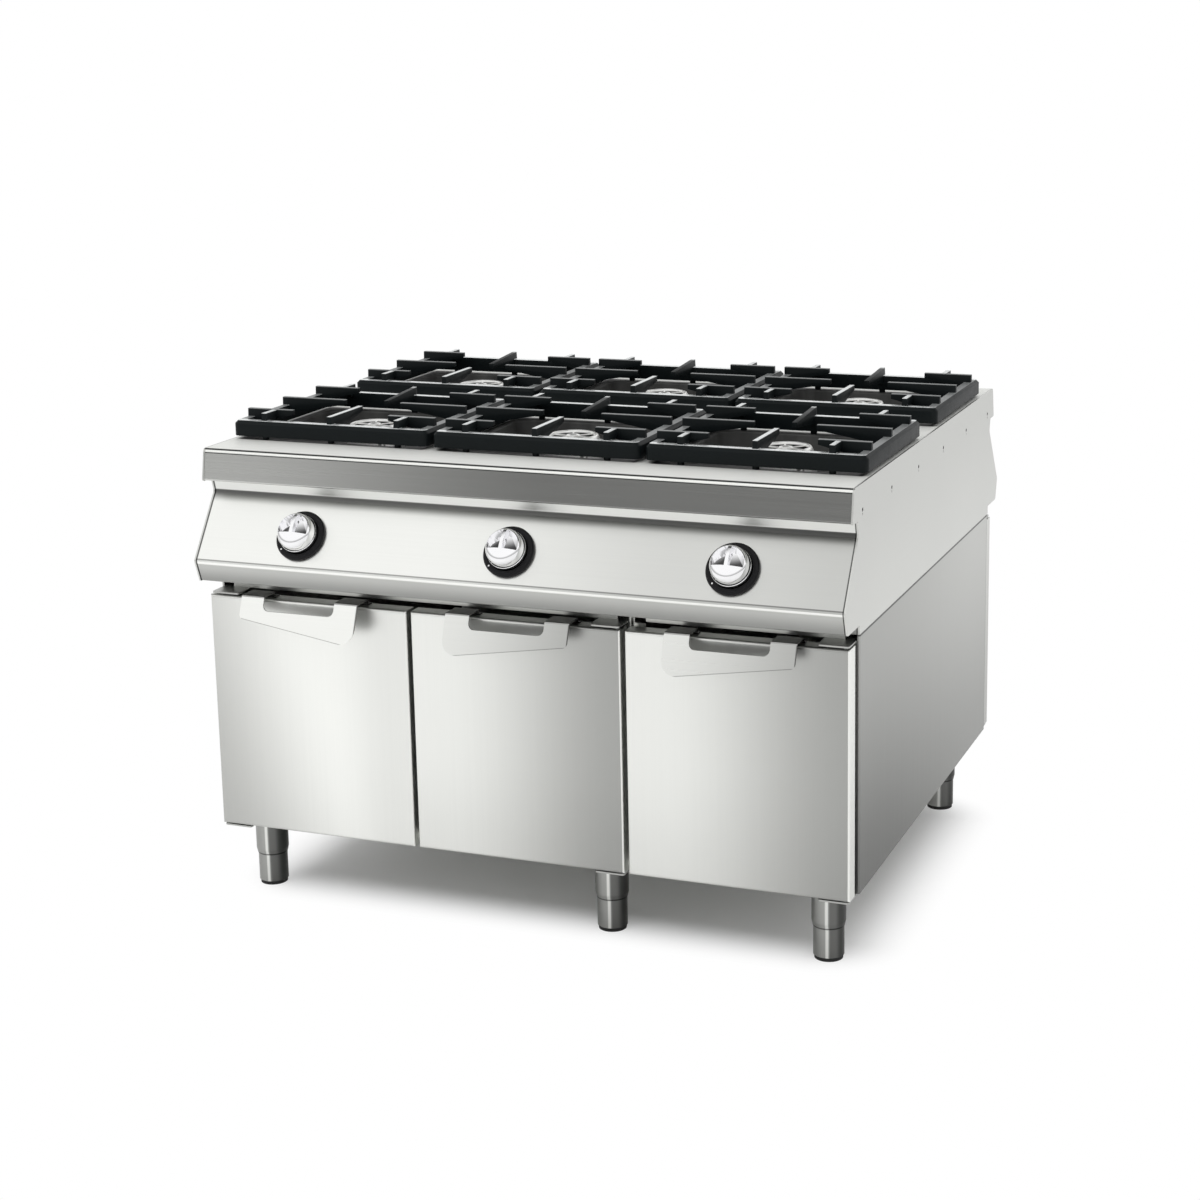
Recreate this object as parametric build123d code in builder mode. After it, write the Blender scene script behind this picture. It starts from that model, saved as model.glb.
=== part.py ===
from build123d import *
import os
from math import hypot

os.makedirs("parts", exist_ok=True)

# Six-burner gas range, used from both long sides. Millimetres, +Z up, the front looks along -Y.
# The origin is on the floor, under the middle of the range.

# Overall sizes
width = 1200.0
height = 850.0
top_half_depth = 500.0
base_top = 600.0
leg_height = 150.0

# Layout: burner columns along X, one row of burners on each side of the middle
column_count = 3
wide_unit_columns = 2
row_offset = 232.0

# Sheet metal
sheet = 2.0
side_sheet = 3.0
door_sheet = 1.5
fold_radius = 3.0

# Clearances
seat_gap = 0.2
fit_gap = 0.3
clamp_gap = 0.1
running_gap = 0.05

# Fascia, the folded edge of the worktop
fascia_height = 57.0
fascia_lean = 10.0
lip_depth = 50.0
worktop_edge_radius = 8.0

# Console, the control panel under each fascia: cove, slanted face, chamfer, underside and box front
console_step_in = 29.0
cove_depth = 7.0
cove_drop = 25.0
cove_radius = 12.0
slant_run = 77.0
slant_drop = 112.0
console_corner_radius = 8.0
chamfer_run = 14.0
chamfer_drop = 39.0
underside_run = 69.0
console_flange = 25.0
edge_proud = 1.0
box_floor_upstand = 15.0
vent_radius = 30.0

# Wells pressed into the worktop
well_width = 340.0
well_length = 310.0
well_depth = 38.0
well_corner = 34.0
well_taper = 10.0
well_rim_radius = 4.0
well_floor_radius = 8.0

# Burner bodies with their gas cups and venturi tubes
neck_radius = 38.0
neck_rise = 8.0
burner_wall = 4.0
cup_radius = 44.0
cup_depth = 58.0
venturi_radius = 14.0
venturi_wall = 3.0
venturi_length = 112.0
venturi_drop = 42.0
bell_radius = 20.0
bell_length = 24.0

# Burner heads
head_radius = 45.0
head_height = 46.0
head_plate = 7.0
head_lean = 9.0
head_edge_radius = 2.0
hub_radius = 16.0
spoke_count = 6
spoke_width = 8.0
port_count = 24
port_radius = 1.8

# Cast-iron grates
grate_width = 390.0
grate_length = 350.0
grate_corner = 12.0
rail_width = 20.0
rail_height = 28.0
rail_chamfer = 6.0
nub_height = 6.0
nub_radius = 6.0
finger_thickness = 12.0
finger_rise = 15.0
finger_tip_depth = 9.0
finger_root_drop = 12.0
finger_end_inset = 6.0
long_finger_tip = 57.0
corner_finger_tip = 97.0
corner_finger_offset = 125.0
rib_offset = 133.0
long_rib_tip = 50.0
rear_rib_fall = 8.0

# Knobs, bezels, spindles and valves: the distance down the slant, the rest along each knob's axis
knob_distance = 75.3
knob_radius = 35.0
knob_height = 35.0
knob_skirt = 9.0
knob_top_radius = 31.0
knob_crown_radius = 10.0
knob_ridge = 9.0
knob_pocket_edge = 8.0
knob_pocket_depth = 9.0
knob_pocket_fall = 9.0
knob_travel = 4.0
knob_rim_gap = 0.8
knob_floor_gap = 0.6
bezel_radius = 46.0
bezel_height = 8.0
bezel_floor = 2.5
bezel_edge = 2.5
spindle_radius = 4.0
spindle_grip = 15.0
spindle_depth = 38.0
spindle_hole_gap = 4.0
valve_width = 34.0
valve_nose_radius = 13.0
valve_nose_length = 10.0
valve_length = 42.0
valve_bore_spare = 2.0

# Gas pipes and injectors
pipe_radius = 10.65
pipe_wall = 2.6
pipe_bend = 40.0
valve_saddle = 4.0
manifold_end_inset = 60.0
inlet_inset = 58.0
inlet_reach = 30.0
inlet_wall = 3.6
thread_radius = 10.48
thread_length = 20.0
inlet_hole_gap = 4.0
tee_radius = 14.0
tee_length = 44.0
feed_radius = 4.0
feed_wall = 1.0
feed_bend = 16.0
feed_port_depth = 30.0
injector_radius = 7.0
injector_bore = 1.2
injector_nose = 3.0
injector_length = 22.0
injector_air_gap = 9.0

# Cupboards under the burner unit
cabinet_half_depth = 465.0
wall_return = 25.0
floor_upstand = 18.0
rail_depth = 25.0

# Doors
door_thickness = 32.0
door_setback = 15.0
door_bottom_gap = 2.0
door_top_gap = 15.0
door_side_gap = 4.0
door_edge_radius = 5.0
liner_depth = 12.0
hinge_side_inset = 10.0
hinge_face_inset = 12.0
hinge_pin_radius = 4.0
hinge_pin_length = 16.0
hinge_boss_radius = 7.0
hinge_boss_length = 12.0
bracket_thickness = 2.8
bracket_length = 54.0
bracket_nose = 8.0
bracket_gap = 2.0
bracket_overlap = 17.0

# Door handles, folded from sheet, with two straps that lie on the door's top
handle_width = 230.0
handle_sheet = 2.0
handle_rise = 9.0
handle_reach = 24.0
handle_drop = 71.0
handle_lean = 27.0
handle_step_back = 15.0
handle_step_lean = 2.0
handle_flange = 12.0
handle_slope = 32.0
handle_notch_width = 140.0
handle_notch_depth = 24.0
handle_notch_radius = 11.0
handle_big_corner = 26.0
handle_small_corner = 8.0

# Legs and feet
leg_radius = 30.0
leg_flange_radius = 34.0
leg_flange_thickness = 3.0
leg_row_offset = 395.0
left_leg_inset = 35.0
divider_leg_inset = 75.0
right_leg_inset = 74.0
leg_bottom = 60.0
leg_taper_height = 9.0
leg_taper = 2.0
foot_radius = 27.0
foot_wall = 3.0
foot_engagement = 58.0
foot_pad_height = 5.0
foot_pad_radius = 25.0

# Holes in the upper side panels where ranges in a row are bolted together
joint_hole_count = 6
joint_hole_pitch = 181.2
joint_hole_radius = 2.75
joint_hole_depth = 44.0
joint_pilot_radius = 1.5
joint_pilot_drop = 6.6

# Places worked out from the sizes above
half_width = width / 2
inner_half_width = half_width - side_sheet - seat_gap
column_pitch = width / column_count
columns = [(i - (column_count - 1) / 2) * column_pitch for i in range(column_count)]
divider_x = -half_width + wide_unit_columns * column_pitch
burner_places = [(x, side * row_offset) for side in (-1, 1) for x in columns]
knob_places = [(x, side) for side in (-1, 1) for x in columns]

fascia_foot_y = top_half_depth + fascia_lean
fascia_foot_z = height - fascia_height
console_top_y = fascia_foot_y - console_step_in
console_top_z = fascia_foot_z - seat_gap
cove_y = console_top_y - cove_depth
cove_z = console_top_z - cove_drop
corner_y = cove_y + slant_run
corner_z = cove_z - slant_drop
chamfer_y = corner_y - chamfer_run
underside_z = corner_z - chamfer_drop
box_front_y = chamfer_y - underside_run

slant_length = hypot(slant_run, slant_drop)
slant_out = slant_drop / slant_length
slant_up = slant_run / slant_length
knob_y = cove_y + knob_distance * slant_up
knob_z = cove_z - knob_distance * slant_out
knob_seat = bezel_floor + knob_floor_gap + knob_travel

well_floor_z = height - well_depth
head_seat_z = well_floor_z + seat_gap
head_bore = neck_radius + fit_gap
cup_top_z = well_floor_z - sheet - seat_gap
cup_floor_z = cup_top_z - cup_depth
venturi_z = well_floor_z - venturi_drop
venturi_mouth = cup_radius + venturi_length
injector_y = row_offset + venturi_mouth + injector_air_gap

rail_bottom = height + seat_gap + nub_height
finger_top = rail_bottom + rail_height + finger_rise

valve_start = sheet + fit_gap + valve_nose_length
valve_end = valve_start + valve_length
pipe_depth = valve_end + pipe_radius - valve_saddle
pipe_y = knob_y - pipe_depth * slant_out
pipe_z = knob_z - pipe_depth * slant_up
inlet_x = half_width - inlet_inset

door_back_y = cabinet_half_depth + door_setback
door_face_y = door_back_y + door_thickness
door_bottom = leg_height + door_bottom_gap
door_top = base_top - door_top_gap
door_middle_z = (door_bottom + door_top) / 2
door_height = door_top - door_bottom
door_width = column_pitch - 2 * door_side_gap
hinge_y = door_face_y - hinge_face_inset
top_bracket_z = door_top + bracket_gap
bottom_bracket_z = leg_height - seat_gap - bracket_thickness
rail_bottom_z = top_bracket_z + bracket_thickness + seat_gap

leg_columns = [
    -half_width + left_leg_inset,
    divider_x - divider_leg_inset,
    half_width - right_leg_inset,
]
leg_places = [(x, side * leg_row_offset) for side in (-1, 1) for x in leg_columns]
column_names = ["left", "middle", "right"]
side_names = {-1: "front", 1: "rear"}


def offset_line(points, distance):
    """Corners of the line that runs at a distance on the right of another, mitred."""
    normals = []
    for start, end in zip(points, points[1:]):
        run = hypot(end[0] - start[0], end[1] - start[1])
        normals.append(((end[1] - start[1]) / run, (start[0] - end[0]) / run))
    shifts = [normals[0]]
    for before, after in zip(normals, normals[1:]):
        share = 1 + before[0] * after[0] + before[1] * after[1]
        shifts.append(((before[0] + after[0]) / share, (before[1] + after[1]) / share))
    shifts.append(normals[-1])
    return [(p[0] + distance * s[0], p[1] + distance * s[1]) for p, s in zip(points, shifts)]


def offset_radii(points, radii, thickness):
    """Bend radii on the right face of a sheet, from those on its left face."""
    right = []
    for before, corner, after, radius in zip(points, points[1:], points[2:], radii):
        first = (corner[0] - before[0], corner[1] - before[1])
        second = (after[0] - corner[0], after[1] - corner[1])
        turns_right = first[0] * second[1] - first[1] * second[0] < 0
        right.append(radius - thickness if turns_right else radius + thickness)
    return right


def bent_sheet(plane, points, radii, thickness):
    """Section of a folded sheet: its outer face follows the points, its thickness lies on their right."""
    inner = offset_line(points, thickness)
    with BuildSketch(plane) as section:
        with BuildLine():
            FilletPolyline(*points, radius=radii)
            FilletPolyline(*inner, radius=offset_radii(points, radii, thickness))
            Line(points[0], inner[0])
            Line(points[-1], inner[-1])
        make_face()
    return section.sketch


def upright_plane(x, y):
    """Plane that holds a vertical axis through a place on the floor, X to the right and Y up."""
    return Plane(origin=(x, y, 0), x_dir=(1, 0, 0), z_dir=(0, -1, 0))


def knob_plane(x, side, depth):
    """Plane square to a knob's axis, at a distance in front of the console face, Y up the slant."""
    return Plane(
        origin=(x, side * (knob_y + depth * slant_out), knob_z + depth * slant_up),
        x_dir=(-side, 0, 0),
        z_dir=(0, side * slant_out, slant_up),
    )


def to_rear(piece):
    """The same piece on the other long side of the range."""
    with BuildPart() as rear:
        mirror(piece, about=Plane.XZ)
    return rear.part


def gather(pieces):
    """Several separate solids of one kind as one part."""
    with BuildPart() as group:
        add(pieces)
    return group.part


def save(piece, name):
    piece.label = name
    export_step(piece, f"parts/{name}.step")


# Worktop: one pressed sheet with a fascia and a return lip on both long sides and six wells
def make_worktop():
    line = [
        (-fascia_foot_y + lip_depth, fascia_foot_z),
        (-fascia_foot_y, fascia_foot_z),
        (-top_half_depth, height),
        (top_half_depth, height),
        (fascia_foot_y, fascia_foot_z),
        (fascia_foot_y - lip_depth, fascia_foot_z),
    ]
    radii = [fold_radius, worktop_edge_radius, worktop_edge_radius, fold_radius]
    section = bent_sheet(Plane.YZ.offset(-inner_half_width), line, radii, sheet)
    floor_fillets = {well_floor_z: well_floor_radius, well_floor_z - sheet: well_floor_radius + sheet}
    with BuildPart() as worktop:
        extrude(section, amount=2 * inner_half_width)
        with BuildSketch(Plane.XY.offset(height)):
            with Locations(*burner_places):
                RectangleRounded(well_width + 2 * sheet, well_length + 2 * sheet, well_corner + sheet)
        extrude(amount=-well_depth - sheet, taper=well_taper)
        with BuildSketch(Plane.XY.offset(height)):
            with Locations(*burner_places):
                RectangleRounded(well_width, well_length, well_corner)
        extrude(amount=-well_depth, taper=well_taper, mode=Mode.SUBTRACT)
        for level, radius in floor_fillets.items():
            level_edges = worktop.edges().filter_by_position(Axis.Z, level - sheet / 2, level + sheet / 2)
            fillet(level_edges, radius=radius)
        top_edges = worktop.edges().filter_by_position(Axis.Z, height - sheet / 2, height + sheet / 2)
        rims = [
            edge
            for edge in top_edges
            for x, y in burner_places
            if abs(edge.center().X - x) < well_width / 2 + sheet
            and abs(edge.center().Y - y) < well_length / 2 + sheet
        ]
        fillet(rims, radius=well_rim_radius)
        with BuildSketch(Plane.XY.offset(well_floor_z)):
            with Locations(*burner_places):
                Circle(neck_radius + fit_gap)
        extrude(amount=-sheet, mode=Mode.SUBTRACT)
    return worktop.part


# Upper side panels: plates with the outline of fascia and console on both long sides
def make_top_side(left_face):
    front = [
        (-top_half_depth - edge_proud, height),
        (-fascia_foot_y - edge_proud, fascia_foot_z - edge_proud),
        (-console_top_y - edge_proud, fascia_foot_z - edge_proud),
        (-cove_y - edge_proud, cove_z),
        (-corner_y - edge_proud, corner_z),
        (-chamfer_y - edge_proud, underside_z - edge_proud),
        (-box_front_y - edge_proud, underside_z - edge_proud),
        (-box_front_y - edge_proud, base_top),
    ]
    rear = [(-y, z) for y, z in reversed(front)]
    radii = [
        worktop_edge_radius,
        fold_radius,
        fold_radius,
        cove_radius,
        console_corner_radius,
        fold_radius,
        fold_radius,
        0,
    ]
    hole_z = height - joint_hole_depth
    first_hole = -joint_hole_pitch * (joint_hole_count - 1) / 2
    hole_spots = [(first_hole + i * joint_hole_pitch, hole_z) for i in range(joint_hole_count)]
    with BuildPart() as panel:
        with BuildSketch(Plane.YZ.offset(left_face)):
            with BuildLine():
                FilletPolyline(*front, *rear, radius=radii + radii[::-1], close=True)
            make_face()
            with Locations(*hole_spots):
                Circle(joint_hole_radius, mode=Mode.SUBTRACT)
                with Locations((0, -joint_pilot_drop)):
                    Circle(joint_pilot_radius, mode=Mode.SUBTRACT)
        extrude(amount=side_sheet)
    return panel.part


# Console: one folded sheet from the flange under the fascia lip down to the box front
def make_console():
    line = [
        (-box_front_y, base_top),
        (-box_front_y, underside_z),
        (-chamfer_y, underside_z),
        (-corner_y, corner_z),
        (-cove_y, cove_z),
        (-console_top_y, console_top_z),
        (-console_top_y + console_flange, console_top_z),
    ]
    radii = [fold_radius, fold_radius, console_corner_radius, cove_radius, fold_radius]
    section = bent_sheet(Plane.YZ.offset(-inner_half_width), line, radii, sheet)
    with BuildPart() as console:
        extrude(section, amount=2 * inner_half_width)
        for x in columns:
            with BuildSketch(knob_plane(x, -1, sheet)):
                Circle(spindle_radius + spindle_hole_gap)
            extrude(amount=-3 * sheet, mode=Mode.SUBTRACT)
    return console.part


# Floor of the burner unit: a pan with an air opening under each burner and a hole for the gas inlet
def make_burner_box_floor():
    half_depth = box_front_y - sheet - seat_gap
    with BuildPart() as floor:
        with BuildSketch(Plane.XY.offset(base_top)):
            Rectangle(2 * inner_half_width, 2 * half_depth)
        extrude(amount=box_floor_upstand)
        with BuildSketch(Plane.XY.offset(base_top + sheet)):
            Rectangle(2 * (inner_half_width - sheet), 2 * (half_depth - sheet))
        extrude(amount=box_floor_upstand, mode=Mode.SUBTRACT)
        with BuildSketch(Plane.XY.offset(base_top)):
            with Locations(*burner_places):
                Circle(vent_radius)
            with Locations((inlet_x, 0)):
                Circle(pipe_radius + inlet_hole_gap)
        extrude(amount=sheet, mode=Mode.SUBTRACT)
    return floor.part


# Burner body: gas cup under the well, neck through its floor, venturi tube that opens to the console
def make_burner_body(x, side):
    y = side * row_offset
    tube_plane = Plane(origin=(x, y, venturi_z), x_dir=(1, 0, 0), z_dir=(0, side, 0))
    with BuildPart() as body:
        with BuildSketch(Plane((x, y, cup_floor_z))):
            Circle(cup_radius)
        extrude(amount=cup_depth)
        with BuildSketch(Plane((x, y, cup_top_z))):
            Circle(neck_radius)
        extrude(amount=sheet + seat_gap + neck_rise)
        with BuildSketch(tube_plane):
            Circle(venturi_radius)
        extrude(amount=venturi_mouth)
        for wall, mode in ((0, Mode.ADD), (venturi_wall, Mode.SUBTRACT)):
            with BuildSketch(tube_plane.offset(venturi_mouth - bell_length)):
                Circle(venturi_radius - wall)
            with BuildSketch(tube_plane.offset(venturi_mouth)):
                Circle(bell_radius - wall)
            loft(mode=mode)
        with BuildSketch(Plane((x, y, cup_floor_z + burner_wall))):
            Circle(neck_radius - burner_wall)
        extrude(amount=height - cup_floor_z, mode=Mode.SUBTRACT)
        with BuildSketch(tube_plane):
            Circle(venturi_radius - venturi_wall)
        extrude(amount=venturi_mouth, mode=Mode.SUBTRACT)
    return body.part


# Burner head: a bright ring with flame ports round its skirt, spokes and a hub
def make_burner_head():
    top_z = head_seat_z + head_height
    plate_z = top_z - head_plate
    with BuildPart() as head:
        with BuildSketch(Plane.XZ):
            with BuildLine():
                Polyline(
                    (head_bore, head_seat_z),
                    (head_radius + head_lean, head_seat_z),
                    (head_radius, plate_z),
                    (head_radius, top_z),
                    (head_bore, top_z),
                    close=True,
                )
            make_face()
        revolve(axis=Axis.Z)
        top_edges = head.edges().filter_by(GeomType.CIRCLE).group_by(Axis.Z)[-1]
        fillet(top_edges, radius=head_edge_radius)
        with BuildSketch(Plane.XY.offset(plate_z)):
            Circle(hub_radius)
            with PolarLocations((head_bore + head_edge_radius) / 2, spoke_count):
                Rectangle(head_bore + head_edge_radius, spoke_width)
        extrude(amount=head_plate - head_edge_radius)
        with PolarLocations(head_radius, port_count):
            with Locations((0, 0, (head_seat_z + plate_z) / 2)):
                Cylinder(port_radius, head_radius - head_lean, rotation=(0, 90, 0), mode=Mode.SUBTRACT)
    return head.part


def finger_outline(root, tip, fall=0.0):
    """Grate finger seen from its side: deep at the rail, thin at the tip, level on top or falling."""
    return [
        (root, finger_top),
        (tip, finger_top - fall),
        (tip, finger_top - fall - finger_tip_depth),
        (root, rail_bottom + finger_root_drop),
    ]


# Grate: a chamfered rail frame on nubs, with fingers that stand above it and reach over the burner
def make_grate(x, y):
    half_x = grate_width / 2
    half_y = grate_length / 2
    across = upright_plane(x, y)
    along = Plane(origin=(x, y, 0), x_dir=(0, 1, 0), z_dir=(1, 0, 0))
    side_fingers = [
        (-corner_finger_offset, corner_finger_tip),
        (0, long_finger_tip),
        (corner_finger_offset, corner_finger_tip),
    ]
    nub_y = half_y - rail_width / 2
    nub_spots = [(nub_x, side * nub_y) for side in (-1, 1) for nub_x in (-rib_offset, 0, rib_offset)]
    with BuildPart() as grate:
        with BuildSketch(Plane((x, y, rail_bottom))):
            RectangleRounded(grate_width, grate_length, grate_corner)
            Rectangle(grate_width - 2 * rail_width, grate_length - 2 * rail_width, mode=Mode.SUBTRACT)
        extrude(amount=rail_height)
        outer_edges = [
            edge
            for edge in grate.edges().group_by(Axis.Z)[-1]
            if abs(edge.center().X - x) > half_x - grate_corner
            or abs(edge.center().Y - y) > half_y - grate_corner
        ]
        chamfer(outer_edges, length=rail_chamfer)
        for side in (-1, 1):
            fall = rear_rib_fall if side > 0 else 0.0
            end_ribs = [
                (-rib_offset, corner_finger_offset, 0.0),
                (0, long_rib_tip, fall),
                (rib_offset, corner_finger_offset, 0.0),
            ]
            for offset_y, tip in side_fingers:
                finger = finger_outline(side * (half_x - finger_end_inset), side * tip)
                with BuildSketch(across.offset(-offset_y)):
                    with BuildLine():
                        Polyline(*finger, close=True)
                    make_face()
                extrude(amount=finger_thickness / 2, both=True)
            for offset_x, tip, drop in end_ribs:
                rib = finger_outline(side * (half_y - finger_end_inset), side * tip, drop)
                with BuildSketch(along.offset(offset_x)):
                    with BuildLine():
                        Polyline(*rib, close=True)
                    make_face()
                extrude(amount=finger_thickness / 2, both=True)
        with BuildSketch(Plane((x, y, height + seat_gap))):
            with Locations(*nub_spots):
                Circle(nub_radius)
        extrude(amount=nub_height + rail_chamfer)
    return grate.part


# Knob bezel: a black ring with a recess that the knob sinks into when it is pushed
def make_bezel(x, side):
    axis = Axis(knob_plane(x, side, 0).origin, knob_plane(x, side, 0).z_dir)
    with BuildPart() as bezel:
        with BuildSketch(knob_plane(x, side, seat_gap)):
            Circle(bezel_radius)
        extrude(amount=bezel_height - seat_gap)
        chamfer(bezel.edges().filter_by(GeomType.CIRCLE).sort_by(axis)[-1], length=bezel_edge)
        with BuildSketch(knob_plane(x, side, bezel_floor)):
            Circle(knob_radius + knob_rim_gap)
        extrude(amount=bezel_height, mode=Mode.SUBTRACT)
        with BuildSketch(knob_plane(x, side, bezel_floor)):
            Circle(spindle_radius + spindle_hole_gap)
        extrude(amount=-bezel_floor, mode=Mode.SUBTRACT)
    return bezel.part


# Spindle: slides and turns in the valve, and carries the knob
def make_spindle(x, side):
    with BuildPart() as spindle:
        with BuildSketch(knob_plane(x, side, -spindle_depth)):
            Circle(spindle_radius)
        extrude(amount=spindle_depth + knob_seat + spindle_grip)
    return spindle.part


# Knob: chromed dome with two sloping finger pockets, a pointer ridge between them, and a blind socket
def make_knob(x, side):
    base = knob_plane(x, side, knob_seat)
    section = Plane(origin=base.origin, x_dir=base.y_dir, z_dir=base.x_dir)
    axis = Axis(base.origin, base.z_dir)
    pocket_floor = knob_height - knob_pocket_depth
    with BuildPart() as knob:
        with BuildSketch(section):
            with BuildLine():
                Polyline(
                    (0, 0),
                    (knob_radius, 0),
                    (knob_radius, knob_skirt),
                    (knob_top_radius, knob_height),
                    (0, knob_height),
                    close=True,
                )
            make_face()
        revolve(axis=axis)
        rims = knob.edges().filter_by(GeomType.CIRCLE).sort_by(axis)
        fillet(rims[-1], radius=knob_crown_radius)
        for hand in (-1, 1):
            with BuildSketch(section.offset(hand * knob_ridge / 2)):
                with BuildLine():
                    Polyline(
                        (-knob_pocket_edge, pocket_floor),
                        (knob_radius, pocket_floor - knob_pocket_fall),
                        (knob_radius, knob_height),
                        (-knob_pocket_edge, knob_height),
                        close=True,
                    )
                make_face()
            extrude(amount=hand * knob_radius, mode=Mode.SUBTRACT)
        with BuildSketch(base):
            Circle(spindle_radius + running_gap)
        extrude(amount=spindle_grip + fit_gap, mode=Mode.SUBTRACT)
    return knob.part


# Valve: a block clamped on the manifold, with a nose behind the console and a bore for the spindle
def make_valve(x, side):
    pipe_line = Plane(origin=knob_plane(x, side, -pipe_depth).origin, x_dir=(0, 1, 0), z_dir=(1, 0, 0))
    with BuildPart() as valve:
        with BuildSketch(knob_plane(x, side, -sheet - fit_gap)):
            Circle(valve_nose_radius)
        extrude(amount=-valve_nose_length)
        with BuildSketch(knob_plane(x, side, -valve_start)):
            Rectangle(valve_width, valve_width)
        extrude(amount=-valve_length)
        with BuildSketch(knob_plane(x, side, 0)):
            Circle(spindle_radius + running_gap)
        extrude(amount=-spindle_depth - knob_travel - valve_bore_spare, mode=Mode.SUBTRACT)
        with BuildSketch(pipe_line):
            Circle(pipe_radius + clamp_gap)
        extrude(amount=valve_width, both=True, mode=Mode.SUBTRACT)
    return valve.part


# Gas pipe: a manifold behind each console, joined across one end, with the inlet pipe down to the floor
def make_gas_pipe():
    start_x = -half_width + manifold_end_inset
    inlet_z = leg_height - inlet_reach
    start = Plane(origin=(start_x, -pipe_y, pipe_z), x_dir=(0, 1, 0), z_dir=(1, 0, 0))
    with BuildPart() as pipe:
        with BuildLine():
            FilletPolyline(
                (start_x, -pipe_y, pipe_z),
                (inlet_x, -pipe_y, pipe_z),
                (inlet_x, pipe_y, pipe_z),
                (start_x, pipe_y, pipe_z),
                radius=pipe_bend,
            )
        with BuildSketch(start):
            Circle(pipe_radius)
        sweep()
        with BuildSketch(Plane.XZ):
            with Locations((inlet_x, pipe_z)):
                Circle(tee_radius)
        extrude(amount=tee_length / 2, both=True)
        with BuildSketch(Plane((inlet_x, 0, inlet_z))):
            Circle(thread_radius)
        extrude(amount=thread_length)
        with BuildSketch(Plane((inlet_x, 0, inlet_z + thread_length))):
            Circle(pipe_radius)
        extrude(amount=pipe_z - inlet_z - thread_length)
        with BuildLine():
            FilletPolyline(
                (start_x + pipe_wall, -pipe_y, pipe_z),
                (inlet_x, -pipe_y, pipe_z),
                (inlet_x, pipe_y, pipe_z),
                (start_x + pipe_wall, pipe_y, pipe_z),
                radius=pipe_bend,
            )
        with BuildSketch(start.offset(pipe_wall)):
            Circle(pipe_radius - pipe_wall)
        sweep(mode=Mode.SUBTRACT)
        with BuildSketch(Plane((inlet_x, 0, inlet_z))):
            Circle(pipe_radius - inlet_wall)
        extrude(amount=pipe_z - inlet_z, mode=Mode.SUBTRACT)
    return pipe.part


# Feed tube from a valve, with the injector that points into the venturi and leaves a gap for air
def make_feed(x, side):
    port = valve_width / 2 + fit_gap
    port_y = knob_y - feed_port_depth * slant_out - port * slant_up
    port_z = knob_z - feed_port_depth * slant_up + port * slant_out
    bend_y = port_y - (venturi_z - port_z) * slant_up / slant_out
    end_y = injector_y + injector_length
    port_plane = Plane(
        origin=(x, side * port_y, port_z), x_dir=(1, 0, 0), z_dir=(0, -side * slant_up, slant_out)
    )
    injector_plane = Plane(origin=(x, side * end_y, venturi_z), x_dir=(1, 0, 0), z_dir=(0, -side, 0))
    tip_axis = Axis((x, side * end_y, venturi_z), (0, -side, 0))
    with BuildPart() as feed:
        with BuildLine():
            FilletPolyline(
                (x, side * port_y, port_z),
                (x, side * bend_y, venturi_z),
                (x, side * end_y, venturi_z),
                radius=feed_bend,
            )
        with BuildSketch(port_plane):
            Circle(feed_radius)
            Circle(feed_radius - feed_wall, mode=Mode.SUBTRACT)
        sweep()
        with BuildSketch(injector_plane):
            Circle(injector_radius)
        extrude(amount=injector_length)
        chamfer(feed.edges().filter_by(GeomType.CIRCLE).sort_by(tip_axis)[-1], length=injector_nose)
        with BuildSketch(injector_plane):
            Circle(injector_bore)
        extrude(amount=injector_length, mode=Mode.SUBTRACT)
    return feed.part


# Cupboard wall: a sheet with returns at its front and rear, cut away for the hinges, and a top flange
def make_cabinet_wall(face_x, inward):
    reach = face_x + inward * wall_return
    line = [
        (reach, -inward * cabinet_half_depth),
        (face_x, -inward * cabinet_half_depth),
        (face_x, inward * cabinet_half_depth),
        (reach, inward * cabinet_half_depth),
    ]
    section = bent_sheet(Plane.XY.offset(leg_height), line, [fold_radius, fold_radius], sheet)
    wall_top = base_top - seat_gap
    cut_bottom = top_bracket_z - seat_gap
    cut_x = face_x + inward * (sheet + fold_radius + wall_return / 2)
    with BuildPart() as wall:
        extrude(section, amount=wall_top - leg_height)
        with BuildSketch(Plane.XY.offset(cut_bottom)):
            with Locations((cut_x, -cabinet_half_depth), (cut_x, cabinet_half_depth)):
                Rectangle(wall_return, 2 * rail_depth)
        extrude(amount=wall_top - cut_bottom, mode=Mode.SUBTRACT)
        with BuildSketch(Plane.XY.offset(wall_top - sheet)):
            with Locations((face_x + inward * (sheet + wall_return) / 2, 0)):
                Rectangle(wall_return - sheet, 2 * (cabinet_half_depth - rail_depth - fit_gap))
        extrude(amount=sheet)
    return wall.part


# Cupboard floor: a pan between two walls, with a hole for the gas inlet where it lies over it
def make_cabinet_floor(left, right):
    middle = (left + right) / 2
    length = right - left - 2 * (sheet + fit_gap)
    depth = 2 * (cabinet_half_depth - sheet - fit_gap)
    with BuildPart() as floor:
        with BuildSketch(Plane((middle, 0, leg_height))):
            Rectangle(length, depth)
        extrude(amount=floor_upstand)
        with BuildSketch(Plane((middle, 0, leg_height + sheet))):
            Rectangle(length - 2 * sheet, depth - 2 * sheet)
        extrude(amount=floor_upstand, mode=Mode.SUBTRACT)
        with BuildSketch(Plane((inlet_x, 0, leg_height))):
            Circle(pipe_radius + inlet_hole_gap)
        extrude(amount=sheet, mode=Mode.SUBTRACT)
    return floor.part


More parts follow.
